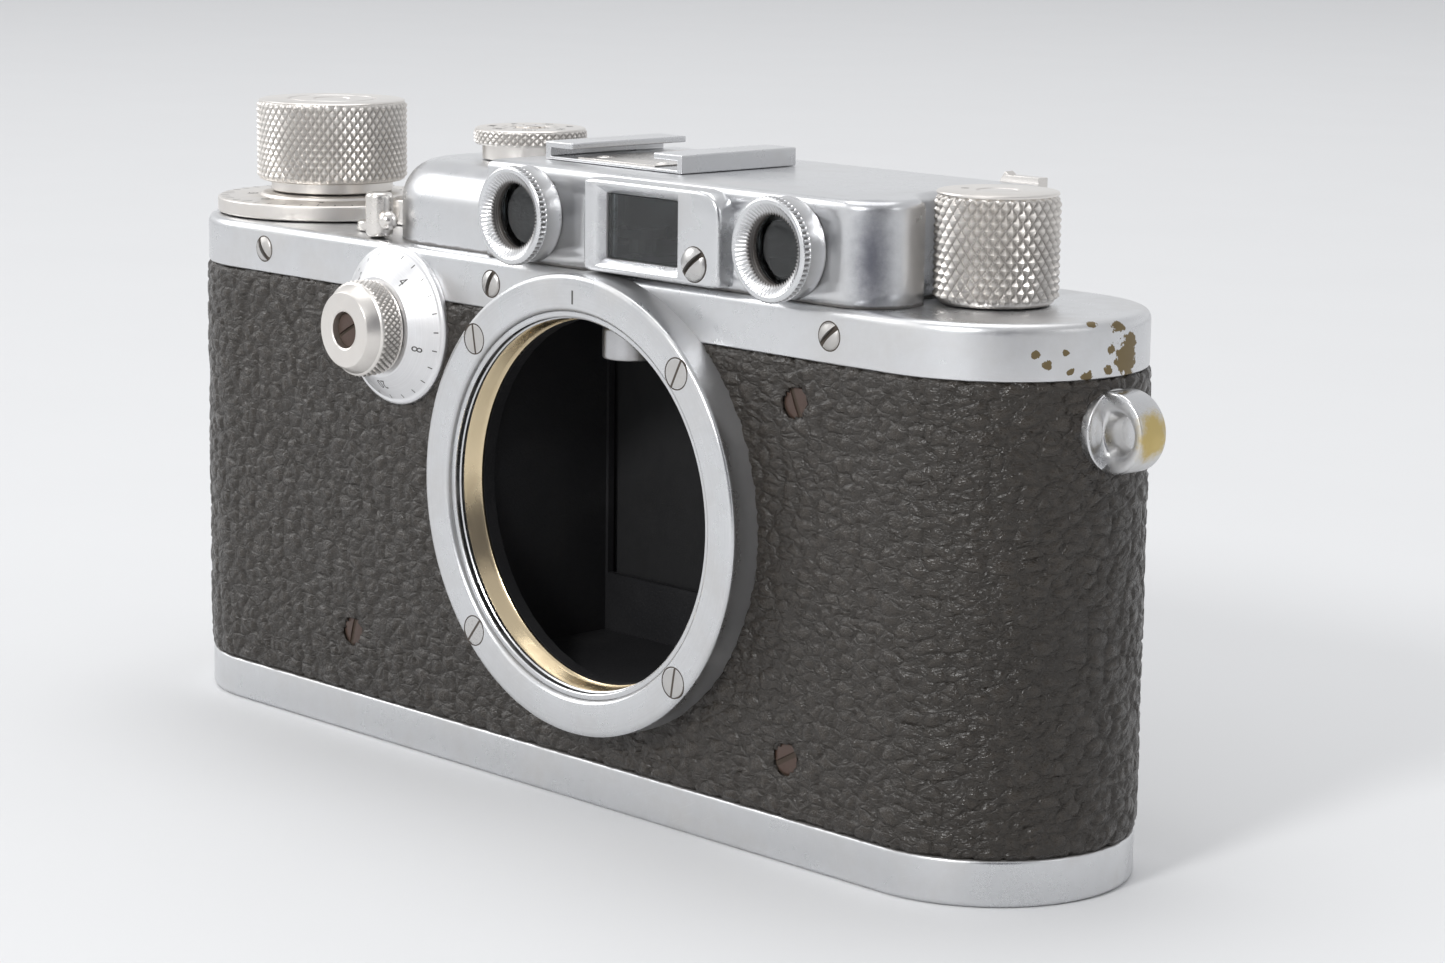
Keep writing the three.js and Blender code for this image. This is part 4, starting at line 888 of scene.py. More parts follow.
class CAMERA_OT_housing(bpy.types.Operator):
    """Finder housing with window openings front and back, and the low step beside it"""

    bl_idname = "camera.housing"
    bl_label = "Housing"

    def execute(self, context):
        roll = np.linspace(0, math.pi / 2, 6)
        rows = [(0, z) for z in (DECK_Z + 0.03, 57.1, 58.0, 63.2, 64.1)]
        rows += [(0.9 * (1 - math.cos(a)), HOUSING_TOP - 0.9 + 0.9 * math.sin(a)) for a in roll]
        points = swept(housing_outline, rows)
        x, y = points[:, 0, 0], points[:, 0, 1]
        nx, ny = np.roll(x, -1), np.roll(y, -1)
        flat_front = (y < -13.8) & (ny < -13.8)
        flat_back = (y > 12.6) & (ny > 12.6)
        mid = (x + nx) / 2
        keep = np.ones((len(points), len(rows) - 1), bool)
        for centre in (*WINDOWS, FINDER_X):
            keep[np.ix_(flat_front & (np.abs(mid - centre) < 0.4), [1, 2, 3])] = False
        for centre in EYEPIECES:
            keep[np.ix_(flat_back & (np.abs(mid - centre) < 0.4), [2])] = False
        shell = build("housing", [sheet(points, wrap_u=True, caps="z", keep=keep)],
                      finishes("housing chrome"), "camera_body", ["rangefinder_housing"],
                      closed=False)
        shell.data.materials.append(finishes("inner black"))
        wall = shell.modifiers.new("Sheet thickness", "SOLIDIFY")
        wall.thickness, wall.offset, wall.material_offset = 0.5 * MM, -1.0, 1
        bend = np.linspace(0, math.pi / 2, 12)
        rows = [(0, DECK_Z + 0.03)] + [(4.4 * (1 - math.cos(a)), 59.9 + 4.4 * math.sin(a)) for a in bend]
        build("housing_step", [sheet(swept(step_outline, rows), wrap_u=True, caps="az")],
              finishes("housing chrome"), "camera_body", ["rangefinder_housing"], sharp=50)
        return {"FINISHED"}


class CAMERA_OT_finder_window(bpy.types.Operator):
    """Raised plate round the finder window, with its flared opening"""

    bl_idname = "camera.finder_window"
    bl_label = "Finder window"

    def execute(self, context):
        (x0, y0, z0), (x1, _, z1) = low("finder_window_plate"), high("finder_window_plate")
        centre = (FINDER_X, 60.7)
        half = (centre[0] - x0, x1 - centre[0], centre[1] - z0, z1 - centre[1])
        mouth = (5.3, 5.3, 3.3, 3.3)
        rows = []
        for inset, y in ((0.0, -13.7), (0.0, y0 + 0.45), (0.06, y0 + 0.22), (0.2, y0 + 0.07), (0.42, y0)):
            rows.append((*finder_square(half, 2.6, centre, inset), y))
        for inset, y in ((-0.85, y0), (-0.78, y0 + 0.04), (-0.05, y0 + 0.75), (0.0, y0 + 0.85), (0.0, -13.7)):
            rows.append((*finder_square(mouth, 0, centre, inset), y))
        points = np.stack([np.column_stack([x, np.full(len(x), y), z]) for x, z, y in rows], 1)
        # A line deep in the opening is marked for painted shade and grime.
        grime_and_shade_mask = np.zeros(points.shape[:2])
        grime_and_shade_mask[:, 8] = 0.6
        build("finder_plate", [sheet(points, wrap_u=True, wrap_v=True, groove=grime_and_shade_mask)],
              finishes("plate chrome"), "camera_body", ["finder_window_plate"], sharp=30)
        return {"FINISHED"}


class CAMERA_OT_window_bezels(bpy.types.Operator):
    """Round window bezels with a fluted rim and a threaded mouth, each with its glass"""

    bl_idname = "camera.window_bezels"
    bl_label = "Window bezels"

    def execute(self, context):
        teeth = context.scene.camera_sizes.bezel_teeth
        profile = [(3.5, 13.95), (3.5, 15.3), (3.62, 15.4), (3.5, 15.55), (3.64, 15.7), (3.5, 15.85),
                   (3.66, 16.0), (3.55, 16.12), (3.74, 16.22), (4.42, 16.82), (4.5, 16.87), (4.7, 16.9),
                   (4.82, 16.88), (4.94, 16.82), (5.03, 16.74), (5.1, 16.66), (5.15, 16.56), (5.15, 16.12),
                   (5.1, 16.02), (5.0, 15.93), (4.94, 15.86), (4.94, 14.1), (4.99, 13.92), (3.5, 13.95)]
        # The threads in the mouth and the step under the fluted rim are marked for painted shade and grime.
        grime_and_shade_mask = np.array([1.5, 1.5, 1.3, 1.5, 1.2, 1.5, 1.1, 1.4] + [0.0] * 11 + [0.5, 0.6, 0.0, 0.7, 0.9])
        for side, x in zip(("left", "right"), WINDOWS):
            centre = (x, 0, WINDOW_Z)
            rim = turned(profile, centre, "-Y", teeth * 6, (teeth, 0.28, 16.05, 16.7), groove=grime_and_shade_mask)
            build(f"bezel_{side}", [rim], finishes("bezel chrome"), "camera_body", [f"rf_bezel_{side}"],
                  sharp=32)
            disc = [(0, 15.25), (1.6, 15.235), (2.6, 15.18), (3.3, 15.08), (3.44, 15.0), (3.44, 14.2),
                    (0, 14.2)]
            build(f"window_{side}", [turned(disc, centre, "-Y", 64)], finishes("window glass"),
                  "camera_body", [f"rf_glass_{side}"])
        return {"FINISHED"}


class CAMERA_OT_eyepieces(bpy.types.Operator):
    """Eyepieces at the back with their lenses, and the focusing lever round one of them"""

    bl_idname = "camera.eyepieces"
    bl_label = "Eyepieces"

    def execute(self, context):
        for name, x, length in zip(("finder", "rf"), EYEPIECES, (1.6, 2.4)):
            centre, y = (x, 0, WINDOW_Z), 12.72
            tube = rounded([(2.3, y - 1.8), (3.1, y - 1.8), (3.1, y), (4.0, y), (4.0, y + length),
                            (2.9, y + length), (2.3, y + length - 0.55), (2.3, y - 1.8)], 0.22, 5)
            build(f"eyepiece_{name}", [turned(tube, centre, "Y", 72)], finishes("rim nickel"),
                  "camera_body", [f"{name}_eyepiece"])
            lens_profile = [(0, 11.3), (2.22, 11.3), (2.25, 11.35), (2.25, 12.1), (1.8, 12.24),
                            (1.0, 12.36), (0, 12.4)]
            build(f"eye_lens_{name}", [turned(lens_profile, centre, "Y", 48)], finishes("window glass"),
                  "camera_body", [f"{name}_eye_lens"])
        ring = rounded([(4.15, 13.0), (4.85, 13.0), (4.85, 14.4), (4.15, 14.4), (4.15, 13.0)], 0.15, 4)
        lean, cx = 0.62, EYEPIECES[1]

        def along_arm(grid):
            a, b, c = grid[..., 0], grid[..., 1], grid[..., 2]
            return np.stack([cx + a * math.cos(lean) + c * math.sin(lean), b,
                             WINDOW_Z - a * math.sin(lean) + c * math.cos(lean)], -1)

        arm = extruded([(-1.1, 13.1), (1.1, 13.1), (1.1, 14.3), (-1.1, 14.3)], (4.5, 6.7), along_arm)
        tab = extruded([(40.7, 65.2), (45.1, 65.2), (45.1, 66.35), (40.7, 66.35)], (13.0, 14.35),
                       lambda grid: grid[..., [0, 2, 1]])
        lever = build("focus_lever", [turned(ring, (cx, 0, WINDOW_Z), "Y", 80), arm, tab],
                      finishes("rim nickel"), "diopter", ["diopter_lever"])
        bevelled(lever, 0.12)
        return {"FINISHED"}


class CAMERA_OT_shoe(bpy.types.Operator):
    """Accessory shoe: sheet folded over at both sides, with four small screws"""

    bl_idname = "camera.shoe"
    bl_label = "Accessory shoe"

    def execute(self, context):
        (x0, y0, z0), (x1, y1, z1) = low("accessory_shoe"), high("accessory_shoe")
        c, half = (x0 + x1) / 2, (x1 - x0) / 2
        right = np.array([(half, z0), (half, z1), (6.2, z1), (6.2, z1 - 0.65), (half - 0.8, z1 - 0.65),
                          (half - 0.8, z0 + 0.35)])
        section = np.vstack([right, right[::-1] * (-1, 1)]) + (c, 0)
        folded = extruded(section, (y0, y1), lambda grid: grid[..., [0, 2, 1]])
        shoe = build("accessory_shoe_folded", [folded], finishes("plate chrome"), "camera_body",
                     ["accessory_shoe"])
        bevelled(shoe, 0.14, 3)
        seat = extruded([(c - 5.9, y0 + 0.5), (c + 5.9, y0 + 0.5), (c + 5.9, y1 - 0.5), (c - 5.9, y1 - 0.5)],
                        (z0 + 0.3, z0 + 0.5), lambda grid: grid)
        heads = [turned([(0, 0.56), (0.35, 0.56), (0.42, 0.42), (0.5, 0.42), (0.6, 0.56), (0.85, 0.55),
                         (0.95, 0.46), (0.95, 0.3)], (c + sx * 4.4, (y0 + y1) / 2 + sy * 5.2, z0), "Z", 28)
                 for sx in (-1, 1) for sy in (-1, 1)]
        bevelled(build("accessory_shoe_seat", [seat, *heads], finishes("rim nickel"), "camera_body",
                       ["accessory_shoe"]), 0.05)
        return {"FINISHED"}


class CAMERA_OT_lens_mount(bpy.types.Operator):
    """Lens mount: turned ring with a plain index line, and the threaded sleeve inside it"""

    bl_idname = "camera.lens_mount"
    bl_label = "Lens mount"

    def execute(self, context):
        ring = [(19.96, 14.1), (19.96, 17.78), (20.02, 17.92), (20.3, 18.13), (20.42, 18.15), (23.1, 18.15),
                (23.4, 18.1), (23.6, 17.98), (23.68, 17.8), (23.7, 17.6), (23.7, 14.1), (19.96, 14.1)]
        # The ring's bore and its back are marked for painted shade and grime.
        grime_and_shade_mask = np.array([0.5, 0.5, 0.2] + [0.0] * 7 + [0.5, 0.5])
        build("mount_ring", [turned(ring, MOUNT, "-Y", 220, groove=grime_and_shade_mask)], finishes("ring chrome"),
              "camera_body", ["lens_mount_ring"], sharp=40)
        lip = [(19.94, 16.4), (19.94, 17.55), (19.85, 17.64), (19.42, 17.65), (19.3, 17.56), (19.24, 17.4),
               (19.24, 17.0), (19.1, 16.9), (19.24, 16.8), (19.24, 16.4), (19.94, 16.4)]
        build("thread_lip", [turned(lip, MOUNT, "-Y", 200)], finishes("ring chrome"), "camera_body",
              ["lens_thread_sleeve"], sharp=25)
        crest = 16.4 - THREAD_PITCH * np.arange(THREAD_TURNS)
        thread = np.column_stack([np.tile([19.2, 19.04], THREAD_TURNS),
                                  np.column_stack([crest, crest - THREAD_PITCH + 0.02]).ravel()])
        sleeve = [(19.9, 14.1), (19.9, 16.41), (19.21, 16.41), *thread, (18.86, 14.3), (18.86, 14.1),
                  (19.9, 14.1)]
        build("thread_sleeve", [turned(sleeve, MOUNT, "-Y", 200)], finishes("thread brass"), "camera_body",
              ["lens_thread_sleeve"], sharp=25)
        y = RING_FACE_Y - 0.005
        mark = np.array([[[-0.13, y, 20.7], [-0.13, y, 22.1]], [[0.13, y, 20.7], [0.13, y, 22.1]]]) + MOUNT
        build("mount_index_line", [sheet(mark)], finishes("engraving fill"), "camera_body", closed=False)
        return {"FINISHED"}


class CAMERA_OT_screws(bpy.types.Operator):
    """Slotted screws of the mount ring, the skirt, the leather and the finder plate"""

    bl_idname = "camera.screws"
    bl_label = "Screws"

    def execute(self, context):
        kit = [(f"mount_screw_{k}", turn, RING_FACE_Y, 0.03, "screw steel", "steel")
               for k, turn in zip((1, 2, 3, 4), (1.1, 1.75, 0.9, 1.4))]
        kit += [(f"skirt_screw_{k}", turn, -BODY_HALF_DEPTH, 0.36, "screw steel", "steel")
                for k, turn in zip((1, 2, 3), (0.75, 1.2, 2.2))]
        kit += [(f"body_screw_{k}", turn, LEATHER_SEAT_Y, 0.1, "rusty steel", "rusty_steel")
                for k, turn in zip((1, 2, 3), (2.0, 0.5, 1.3))]
        kit += [("finder_plate_screw", 0.72, FINDER_PLATE_Y, 0.5, "screw steel", "steel")]
        for node, turn, wall, dome, finish, slot in kit:
            flush = dome < 0.05
            head = screw(node, turn, wall, dome, 0.3 if flush else 0.56, 0.25 if flush else 0.6,
                         0.04 if flush else 0.1, 0.12 if node.startswith("skirt") else 0.0)
            build(f"{node}_head", head, finishes(finish), "camera_body", [node], sharp=28)
        return {"FINISHED"}


class CAMERA_OT_winding(bpy.types.Operator):
    """Winding knob with a diamond knurl, and the frame counter dial below it"""

    bl_idname = "camera.winding"
    bl_label = "Winding knob"

    def execute(self, context):
        teeth = context.scene.camera_sizes.winding_teeth
        at = middle("winding_knob")
        centre = (at[0], at[1], 0)
        foot = [(0, 58.2), (6.9, 58.2), (7.0, 58.3), (7.0, 59.3), (8.1, 59.42), (8.4, 59.55)]
        head = [(8.42, 68.5), (8.28, 68.63), (8.1, 68.69), (5.2, 68.7), (5.05, 68.55), (4.85, 68.55),
                (4.7, 68.7), (2.2, 68.7), (2.1, 68.55), (1.9, 68.55), (1.8, 68.66), (0, 68.68)]
        body = knurl(8.66, 59.62, 68.42, teeth, 1.32, 0.34, foot, head, centre)
        build("winding_knob_knurled", [body], finishes("knurled nickel"), "winding", ["winding_knob"],
              sharp=24)
        z = high("counter_dial")[2]
        dial = rounded([(2.0, 55.75), (13.0, 55.75), (13.18, 55.9), (13.18, 57.4), (12.9, COUNTER_FACE_Z),
                        (8.25, COUNTER_FACE_Z), (8.1, z - 0.1), (7.8, z), (2.0, z), (2.0, 55.75)], 0.12, 4)
        build("counter_dial_turned", [turned(dial, centre, "Z", 160)], finishes("counter nickel"), "counter",
              ["counter_dial"])
        face = level(COUNTER_FACE_Z + INK)
        marks = [ticks(40, 11.9, 12.85, 0.14, centre, lift=face, every=5, longer=0.5),
                 lettering([str(n) for n in range(0, 40, 5)], 1.7, 9.2, centre, lift=face,
                           start=-math.pi / 2)]
        build("counter_numbers", marks, finishes("engraving fill"), "counter", closed=False)
        return {"FINISHED"}


class CAMERA_OT_rewind(bpy.types.Operator):
    """Rewind knob with a coarse diamond knurl and a bright rim, and the stem that it lifts along"""

    bl_idname = "camera.rewind"
    bl_label = "Rewind knob"

    def execute(self, context):
        teeth = context.scene.camera_sizes.rewind_teeth
        at, top = middle("rewind_knob"), high("rewind_knob")[2]
        centre = (at[0], at[1], 0)
        foot = [(0, 62.1), (1.75, 62.1), (1.75, 55.72), (5.2, 55.72), (5.4, 55.85), (5.55, 56.0)]
        head = [(5.86, top - 0.34), (5.9, top - 0.2), (5.82, top - 0.07), (5.66, top), (2.2, top),
                (2.08, top - 0.14), (1.9, top - 0.14), (1.82, top - 0.05), (1.6, top - 0.02), (0, top)]
        body = knurl(6.08, 56.1, top - 0.42, teeth, 1.45, 0.5, foot, head, centre)
        # A small pit in the top, wholly marked for painted shade and grime.
        pit = turned([(0.42, top - 0.4), (0.42, top + 0.004), (0.0, top + 0.004)], (48.4, -1.2, 0), "Z", 20,
                     groove=1.0)
        build("rewind_knob_knurled", [body, pit], finishes("knurled nickel"), "rewind_knob", ["rewind_knob"],
              sharp=24)
        stem = turned([(0, 55.7), (1.6, 55.7), (1.6, 61.9), (0, 61.9)], centre, "Z", 48)
        build("rewind_stem", [stem], finishes("rim nickel"), "rewind_shaft")
        return {"FINISHED"}


class CAMERA_OT_speed_dial(bpy.types.Operator):
    """Shutter speed dial with a fine knurl and plain numbers"""

    bl_idname = "camera.speed_dial"
    bl_label = "Speed dial"

    def execute(self, context):
        at, top = middle("speed_dial"), high("speed_dial")[2]
        centre = (at[0], at[1], 0)
        foot = [(1.68, 64.47), (5.2, 64.47), (5.2, 65.95), (5.9, 66.02)]
        head = [(6.0, top - 0.16), (5.85, top - 0.04), (5.6, top), (2.3, top), (2.2, top - 0.1),
                (1.68, top - 0.1), (1.68, 64.47)]
        body = knurl(6.18, 66.1, top - 0.22, 44, 0.78, 0.22, foot, head, centre)
        build("speed_dial_knurled", [body], finishes("dial nickel"), "speed_dial", ["speed_dial"],
              sharp=24)
        face = level(top + 0.008)
        words = ["30", "40", "60", "100", "200", "500", "B"]
        marks = [lettering(words, 1.15, 4.25, centre, lift=face, start=0.4),
                 ticks(14, 2.75, 3.15, 0.12, centre, lift=face)]
        build("speed_dial_numbers", marks, finishes("engraving fill"), "speed_dial", closed=False)
        return {"FINISHED"}


class CAMERA_OT_slow_dial(bpy.types.Operator):
    """Slow speed dial on the front: coned seat with numbers, knurled knob and its screw"""

    bl_idname = "camera.slow_dial"
    bl_label = "Slow speed dial"

    def execute(self, context):
        at = middle("slow_dial_knob")
        centre = (at[0], 0, at[2])

        def above(r):
            return np.interp(r, (5.4, 8.05), (17.6, 15.36)) + INK

        seat = rounded([(0, 14.5), (8.65, 14.5), (8.65, 15.05), (8.35, 15.32), (8.05, 15.36), (5.4, 17.6),
                        (0, 17.6)], 0.12, 4)
        build("slow_dial_seat", [turned(seat, centre, "-Y", 120)], finishes("slow dial chrome"),
              "camera_body", ["slow_dial_plate"])
        marks = [ticks(24, 7.55, 7.95, 0.12, centre, "-Y", above),
                 lettering(["1", "2", "4", "8", "20"], 1.35, 6.25, centre, "-Y", above, start=1.9)]
        build("slow_dial_numbers", marks, finishes("engraving fill"), "camera_body", closed=False)
        foot = [(0, 17.66), (4.7, 17.66), (4.95, 17.85), (5.02, 17.98)]
        head = [(5.02, 20.5), (4.92, 20.62), (4.78, 20.7), (4.1, 21.86), (3.98, 21.97), (3.8, 22.0),
                (2.15, 22.0), (1.98, 21.9), (1.95, 21.0), (0, 21.0)]
        knob = knurl(5.18, 18.05, 20.42, 46, 0.79, 0.24, foot, head, centre, "-Y")
        build("slow_dial_knob_knurled", [knob], finishes("knurled nickel"), "slow_dial", ["slow_dial_knob"],
              sharp=24)
        build("slow_dial_screw_head", screw("slow_dial_screw", 0.5, -21.2, 0.2, 0.4, 0.3),
              finishes("rusty steel"), "slow_dial", ["slow_dial_screw"], sharp=28)
        return {"FINISHED"}


class CAMERA_OT_release(bpy.types.Operator):
    """Shutter release button in its collar, and the small advance and rewind lever"""

    bl_idname = "camera.release"
    bl_label = "Release and lever"

    def execute(self, context):
        at = middle("release_button")
        centre = (at[0], at[1], 0)
        collar = rounded([(1.95, 55.66), (3.6, 55.66), (3.6, 58.6), (1.95, 58.6), (1.95, 55.66)], 0.35, 6)
        build("release_collar_turned", [turned(collar, centre, "Z", 64)], finishes("rim nickel"),
              "camera_body", ["release_collar"])
        button = [(0, 57.75), (1.86, 57.75), (1.86, 59.6), (1.78, 59.9), (1.55, 60.12), (1.1, 60.2),
                  (0.75, 60.16), (0.62, 60.0), (0.55, 59.2), (0, 59.0)]
        build("release_button_turned", [turned(button, centre, "Z", 56)], finishes("rim nickel"), "release",
              ["release_button"])
        pivot, tip = np.array([-33.6, -8.8]), np.array([-27.7, -12.5])
        way = tip - pivot
        length = np.hypot(*way)
        way /= length

        def along_lever(grid):
            a, b, c = grid[..., 0], grid[..., 1], grid[..., 2]
            return np.stack([pivot[0] + c * way[0] - a * way[1], pivot[1] + c * way[1] + a * way[0], b], -1)

        arm = extruded([(-0.95, 55.8), (0.95, 55.8), (0.95, 56.7), (-0.95, 56.7)], (0.0, length), along_lever)
        boss = turned([(0, 55.75), (1.7, 55.75), (1.7, 56.6), (1.5, 56.8), (0, 56.8)], (*pivot, 0), "Z", 40)
        pin = turned(rounded([(0, 55.75), (1.5, 55.75), (1.5, 60.6), (0, 60.6)], 0.6, 7), (*tip, 0), "Z", 40)
        t = np.linspace(0, math.pi, 17)
        ball = turned(np.column_stack([1.04 * np.sin(t), -1.04 * np.cos(t)]), (-25.4, -13.1, 57.7), "Z", 32)
        stalk = turned([(0, -1.6), (0.4, -1.6), (0.4, 1.2), (0, 1.2)], (-26.6, -12.8, 57.7), "X", 16)
        bevelled(build("advance_lever_turned", [boss, arm, pin, ball, stalk], finishes("rim nickel"), "lever",
                       ["advance_lever"]), 0.1)
        return {"FINISHED"}


class CAMERA_OT_strap_lugs(bpy.types.Operator):
    """Strap lugs: round flange and a bored ear at each end"""

    bl_idname = "camera.strap_lugs"
    bl_label = "Strap lugs"

    def execute(self, context):
        s = np.linspace(0, TURN, 96, endpoint=False)[:, None]
        outer = -np.cos(s) + np.sqrt(np.cos(s) ** 2 - 1 + 15.2)
        outer = np.where(np.cos(s) < 0, np.minimum(outer, 2.3 / np.maximum(-np.cos(s), 1e-6)), outer)
        loop = rounded([(0.30, 0.9), (0.0, 0.6), (0.0, -0.6), (0.30, -1.8), (1.0, -1.8), (1.0, 1.8),
                        (0.30, 1.8), (0.0, 0.6)], 0.28, 6)[1:-1]
        part, thick = loop.T
        reach = LUG_BORE_R + np.clip(part, 0, 1) * (outer - LUG_BORE_R)
        ear = np.stack([LUG_X + reach * np.cos(s), np.broadcast_to(thick, reach.shape),
                        LUG_Z + reach * np.sin(s)], -1)
        flange = rounded([(0, 65.5), (3.95, 65.5), (3.95, 67.2), (2.9, 67.05), (0, 67.0)], 0.22, 5)
        for side, sign in (("right", 1), ("left", -1)):
            sheets = [sheet(ear * (sign, 1, 1), wrap_u=True, wrap_v=True),
                      turned(flange, (0, 0, LUG_Z), "X" if sign > 0 else "-X", 72)]
            build(f"strap_lug_{side}_bored", sheets, finishes("lug nickel"), "camera_body",
                  [f"strap_lug_{side}"])
        return {"FINISHED"}


class CAMERA_OT_inner_parts(bpy.types.Operator):
    """Cam roller, and finishes for the frame's own inner parts"""

    bl_idname = "camera.inner_parts"
    bl_label = "Inner parts"

    def execute(self, context):
        at = middle("rf_cam_roller")
        roller = rounded([(0, 46.7), (3.0, 46.7), (3.0, 50.0), (0, 50.0)], 0.35, 6)
        build("cam_roller_turned", [turned(roller, (at[0], at[1], 0), "Z", 56)], finishes("inner steel"),
              "rf_arm", ["rf_cam_roller"])
        kit = {
            "inner black": ("light_box", "body_shell", "pressure_plate", "take_up_spool"),
            "inner steel": ("film_gate", "shutter_drum", "curtain_roller", "film_sprocket", "rf_coupling_arm",
                            "rewind_fork", "base_key_bail"),
            "inner brass": ("mechanism_plate",),
            "shutter cloth": ("shutter_curtain",),
            "silvered face": ("rf_half_mirror",),
            "window glass": ("rf_turning_prism", "finder_glass"),
            "rim nickel": ("base_lock_key", "tripod_socket", "speed_dial_post"),
        }
        for finish, nodes in kit.items():
            for node in nodes:
                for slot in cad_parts[node].material_slots:
                    slot.material = finishes(finish)
        return {"FINISHED"}


LAMPS = (
    ("light_top", (-0.45, 0.2, 1.9), (-0.1, 0.0, 0.0), 1.7, 14.0),
    ("light_left", (-0.9, -0.8, 0.7), (0, 0, 0.03), 0.7, 0.6),
    ("light_gloss", (-1.0, -0.45, 0.65), (0, 0, 0.05), 0.8, 4.0),
    ("light_front", (0.20, -0.95, 0.62), (0.04, 0, 0.03), 0.22, 5.5),
    ("light_right", (0.95, 0.20, 0.5), (0.04, 0, 0.03), 0.3, 0.4),
)
VIEW_PLACE = (0.28403, -0.25559, 0.10040)
VIEW_ANGLES = (46.58, 10.27, 0.73)
CARD_DISTANCE, CARD_HALF_SIZE, CARD_SHIFT = 0.85, (0.32, 0.40), 0.08


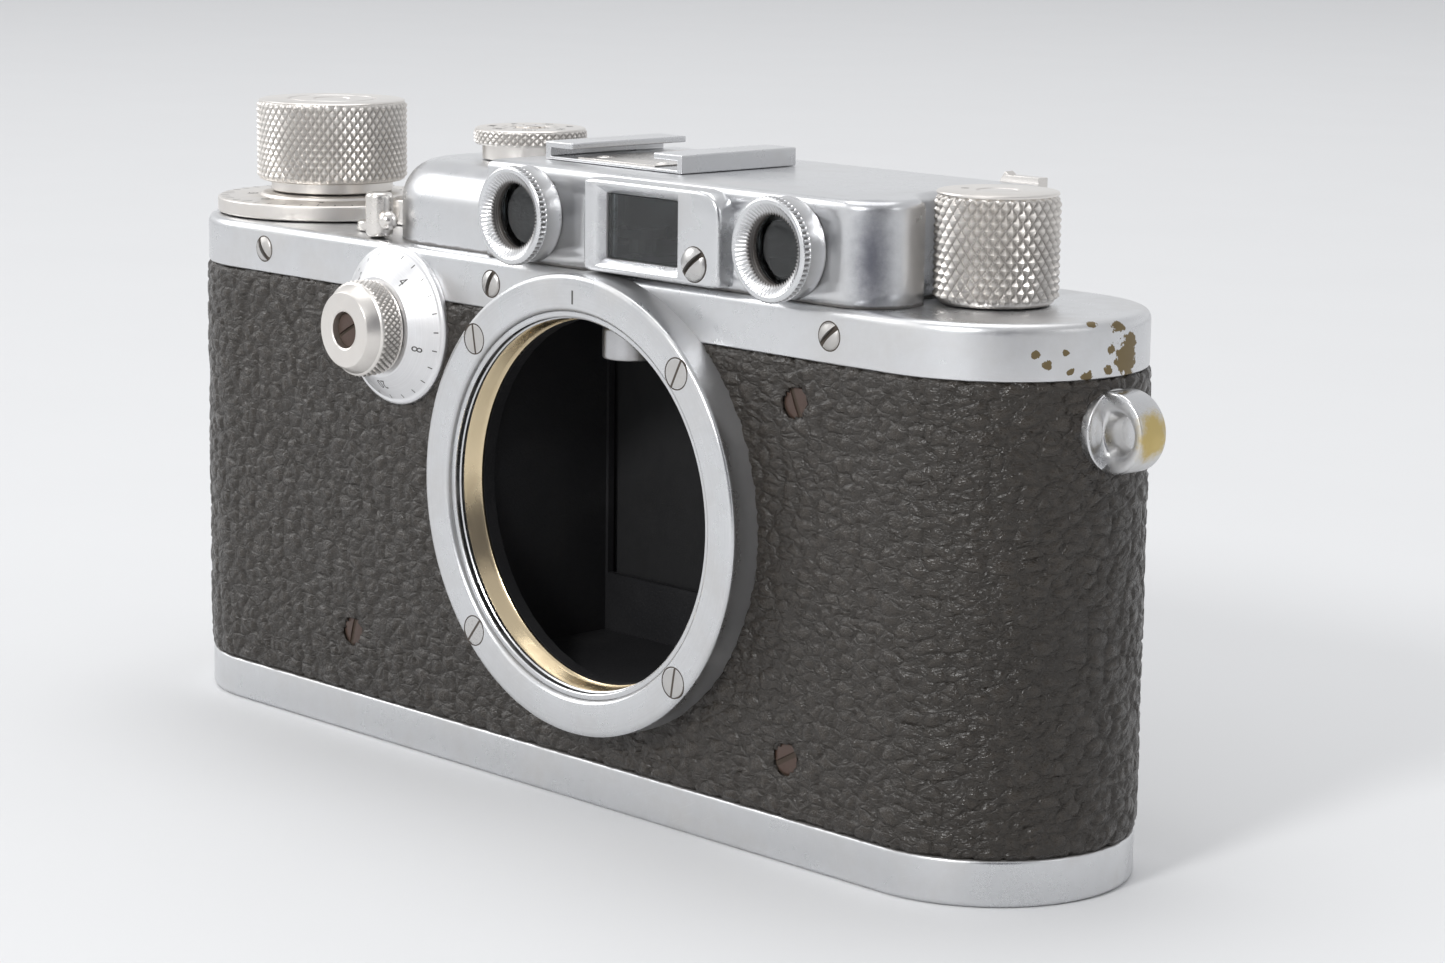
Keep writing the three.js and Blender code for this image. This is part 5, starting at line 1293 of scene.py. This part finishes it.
class CAMERA_OT_stage(bpy.types.Operator):
    """Plain pale floor, soft lights and the view"""

    bl_idname = "camera.stage"
    bl_label = "Floor, light and view"

    def execute(self, context):
        scene, look = context.scene, context.scene.camera_stage
        floor = bpy.data.meshes.new("floor")
        floor.from_pydata([(-9, -9, 0), (9, -9, 0), (9, 9, 0), (-9, 9, 0)], [], [(0, 1, 2, 3)])
        ground = bpy.data.objects.new("floor", floor)
        scene.collection.objects.link(ground)
        paper, w, shade = blank("Pale paper")
        tone = w.blend(w.noise(w.place(), 0.02, 4.0), scaled(look.floor), scaled(look.floor, 0.97))
        w.feed(shade, {"Base Color": tone, "Roughness": 0.75})
        floor.materials.append(paper)
        world = bpy.data.worlds.new("Studio")
        world.use_nodes = True
        sky = world.node_tree.nodes["Background"]
        w = Wiring(world.node_tree)
        aim = w.add("ShaderNodeSeparateXYZ", {0: w.add("ShaderNodeTexCoord").outputs["Generated"]})
        east, rise = aim.outputs[0], aim.outputs[2]
        glow = w.blend(w.span(rise, 0.02, 0.75), (0.86, 0.87, 0.885, 1.0), (0.70, 0.705, 0.72, 1.0))
        glow = w.blend(w.span(east, 0.15, 0.95, 0.0, 0.4), glow, (0.34, 0.34, 0.36, 1.0))
        w.feed(sky, {"Color": glow, "Strength": 0.98 * look.light})
        scene.world = world
        for name, place_at, aim, size, power in LAMPS:
            lamp = bpy.data.lights.new(name, "AREA")
            lamp.shape, lamp.size, lamp.energy = "DISK", size, power * look.light
            holder = bpy.data.objects.new(name, lamp)
            away = Vector(place_at) - Vector(aim)
            turn = away.to_track_quat("Z", "Y").to_matrix().to_4x4()
            holder.matrix_world = Matrix.Translation(place_at) @ turn
            holder.visible_diffuse = name != "light_gloss"
            scene.collection.objects.link(holder)
        azimuth, elevation, roll = (math.radians(angle) for angle in VIEW_ANGLES)
        back = Vector((math.sin(azimuth) * math.cos(elevation), -math.cos(azimuth) * math.cos(elevation),
                       math.sin(elevation)))
        right = Vector((math.cos(azimuth), math.sin(azimuth), 0))
        up = back.cross(right)
        across = math.cos(roll) * right + math.sin(roll) * up
        upright = math.cos(roll) * up - math.sin(roll) * right
        lens = bpy.data.cameras.new("view")
        lens.lens, lens.sensor_width, lens.clip_start = look.focal, 36.0, 0.005
        eye = bpy.data.objects.new("view", lens)
        pose = Matrix((across, upright, back)).transposed().to_4x4()
        eye.matrix_world = Matrix.Translation(VIEW_PLACE) @ pose
        scene.collection.objects.link(eye)
        scene.camera = eye
        # A dark card behind the view, unseen by the camera, by diffuse light and by shadows: it only darkens
        # the reflections in the chrome.
        card = bpy.data.meshes.new("dark_card")
        spread = np.array([(-1, -1), (1, -1), (1, 1), (-1, 1)]) * CARD_HALF_SIZE + (CARD_SHIFT, 0)
        heart = Vector((0, 0, 0.05)) + back * CARD_DISTANCE
        corners = [heart + right * float(a) + up * float(b) for a, b in spread]
        card.from_pydata(corners, [], [(0, 1, 2, 3)])
        shield = bpy.data.objects.new("dark_card", card)
        scene.collection.objects.link(shield)
        shield.visible_camera = shield.visible_diffuse = shield.visible_shadow = False
        felt, w, shade = blank("Dark felt")
        cloth = w.blend(w.noise(w.place(), 0.05, 3.0), (0.12, 0.12, 0.13, 1.0), (0.16, 0.16, 0.18, 1.0))
        w.feed(shade, {"Base Color": cloth})
        card.materials.append(felt)
        scene.view_settings.view_transform = "Standard"
        return {"FINISHED"}


class CAMERA_PT_sidebar(bpy.types.Panel):
    """Sidebar panel with the camera's colours, sizes and operators"""

    bl_idname = "CAMERA_PT_sidebar"
    bl_label = "Rangefinder Camera Body"
    bl_space_type = "VIEW_3D"
    bl_region_type = "UI"
    bl_category = "Camera Body"

    def draw(self, context):
        for owner in (context.scene.camera_finish, context.scene.camera_sizes, context.scene.camera_stage):
            box = self.layout.box()
            for key in type(owner).__annotations__:
                box.prop(owner, key)
        for operator in OPERATORS:
            self.layout.operator(operator.bl_idname)


OPERATORS = (
    CAMERA_OT_leather, CAMERA_OT_top_cover, CAMERA_OT_base_cover, CAMERA_OT_housing,
    CAMERA_OT_finder_window, CAMERA_OT_window_bezels, CAMERA_OT_eyepieces, CAMERA_OT_shoe,
    CAMERA_OT_lens_mount, CAMERA_OT_screws, CAMERA_OT_winding, CAMERA_OT_rewind, CAMERA_OT_speed_dial,
    CAMERA_OT_slow_dial, CAMERA_OT_release, CAMERA_OT_strap_lugs, CAMERA_OT_inner_parts, CAMERA_OT_stage,
)
GROUPS = {"camera_finish": CameraFinish, "camera_sizes": CameraSizes, "camera_stage": StageLook}


def register():
    """Adds the property groups, operators and panel."""
    for cls in (*GROUPS.values(), *OPERATORS, CAMERA_PT_sidebar):
        bpy.utils.register_class(cls)
    for key, cls in GROUPS.items():
        setattr(bpy.types.Scene, key, PointerProperty(type=cls))


def unregister():
    """Removes what register added."""
    for key in GROUPS:
        delattr(bpy.types.Scene, key)
    for cls in (CAMERA_PT_sidebar, *reversed(OPERATORS), *reversed(GROUPS.values())):
        bpy.utils.unregister_class(cls)


def main():
    """Runs every operator in order."""
    register()
    for operator in OPERATORS:
        family, name = operator.bl_idname.split(".")
        getattr(getattr(bpy.ops, family), name)()


if __name__ == "__main__":
    main()
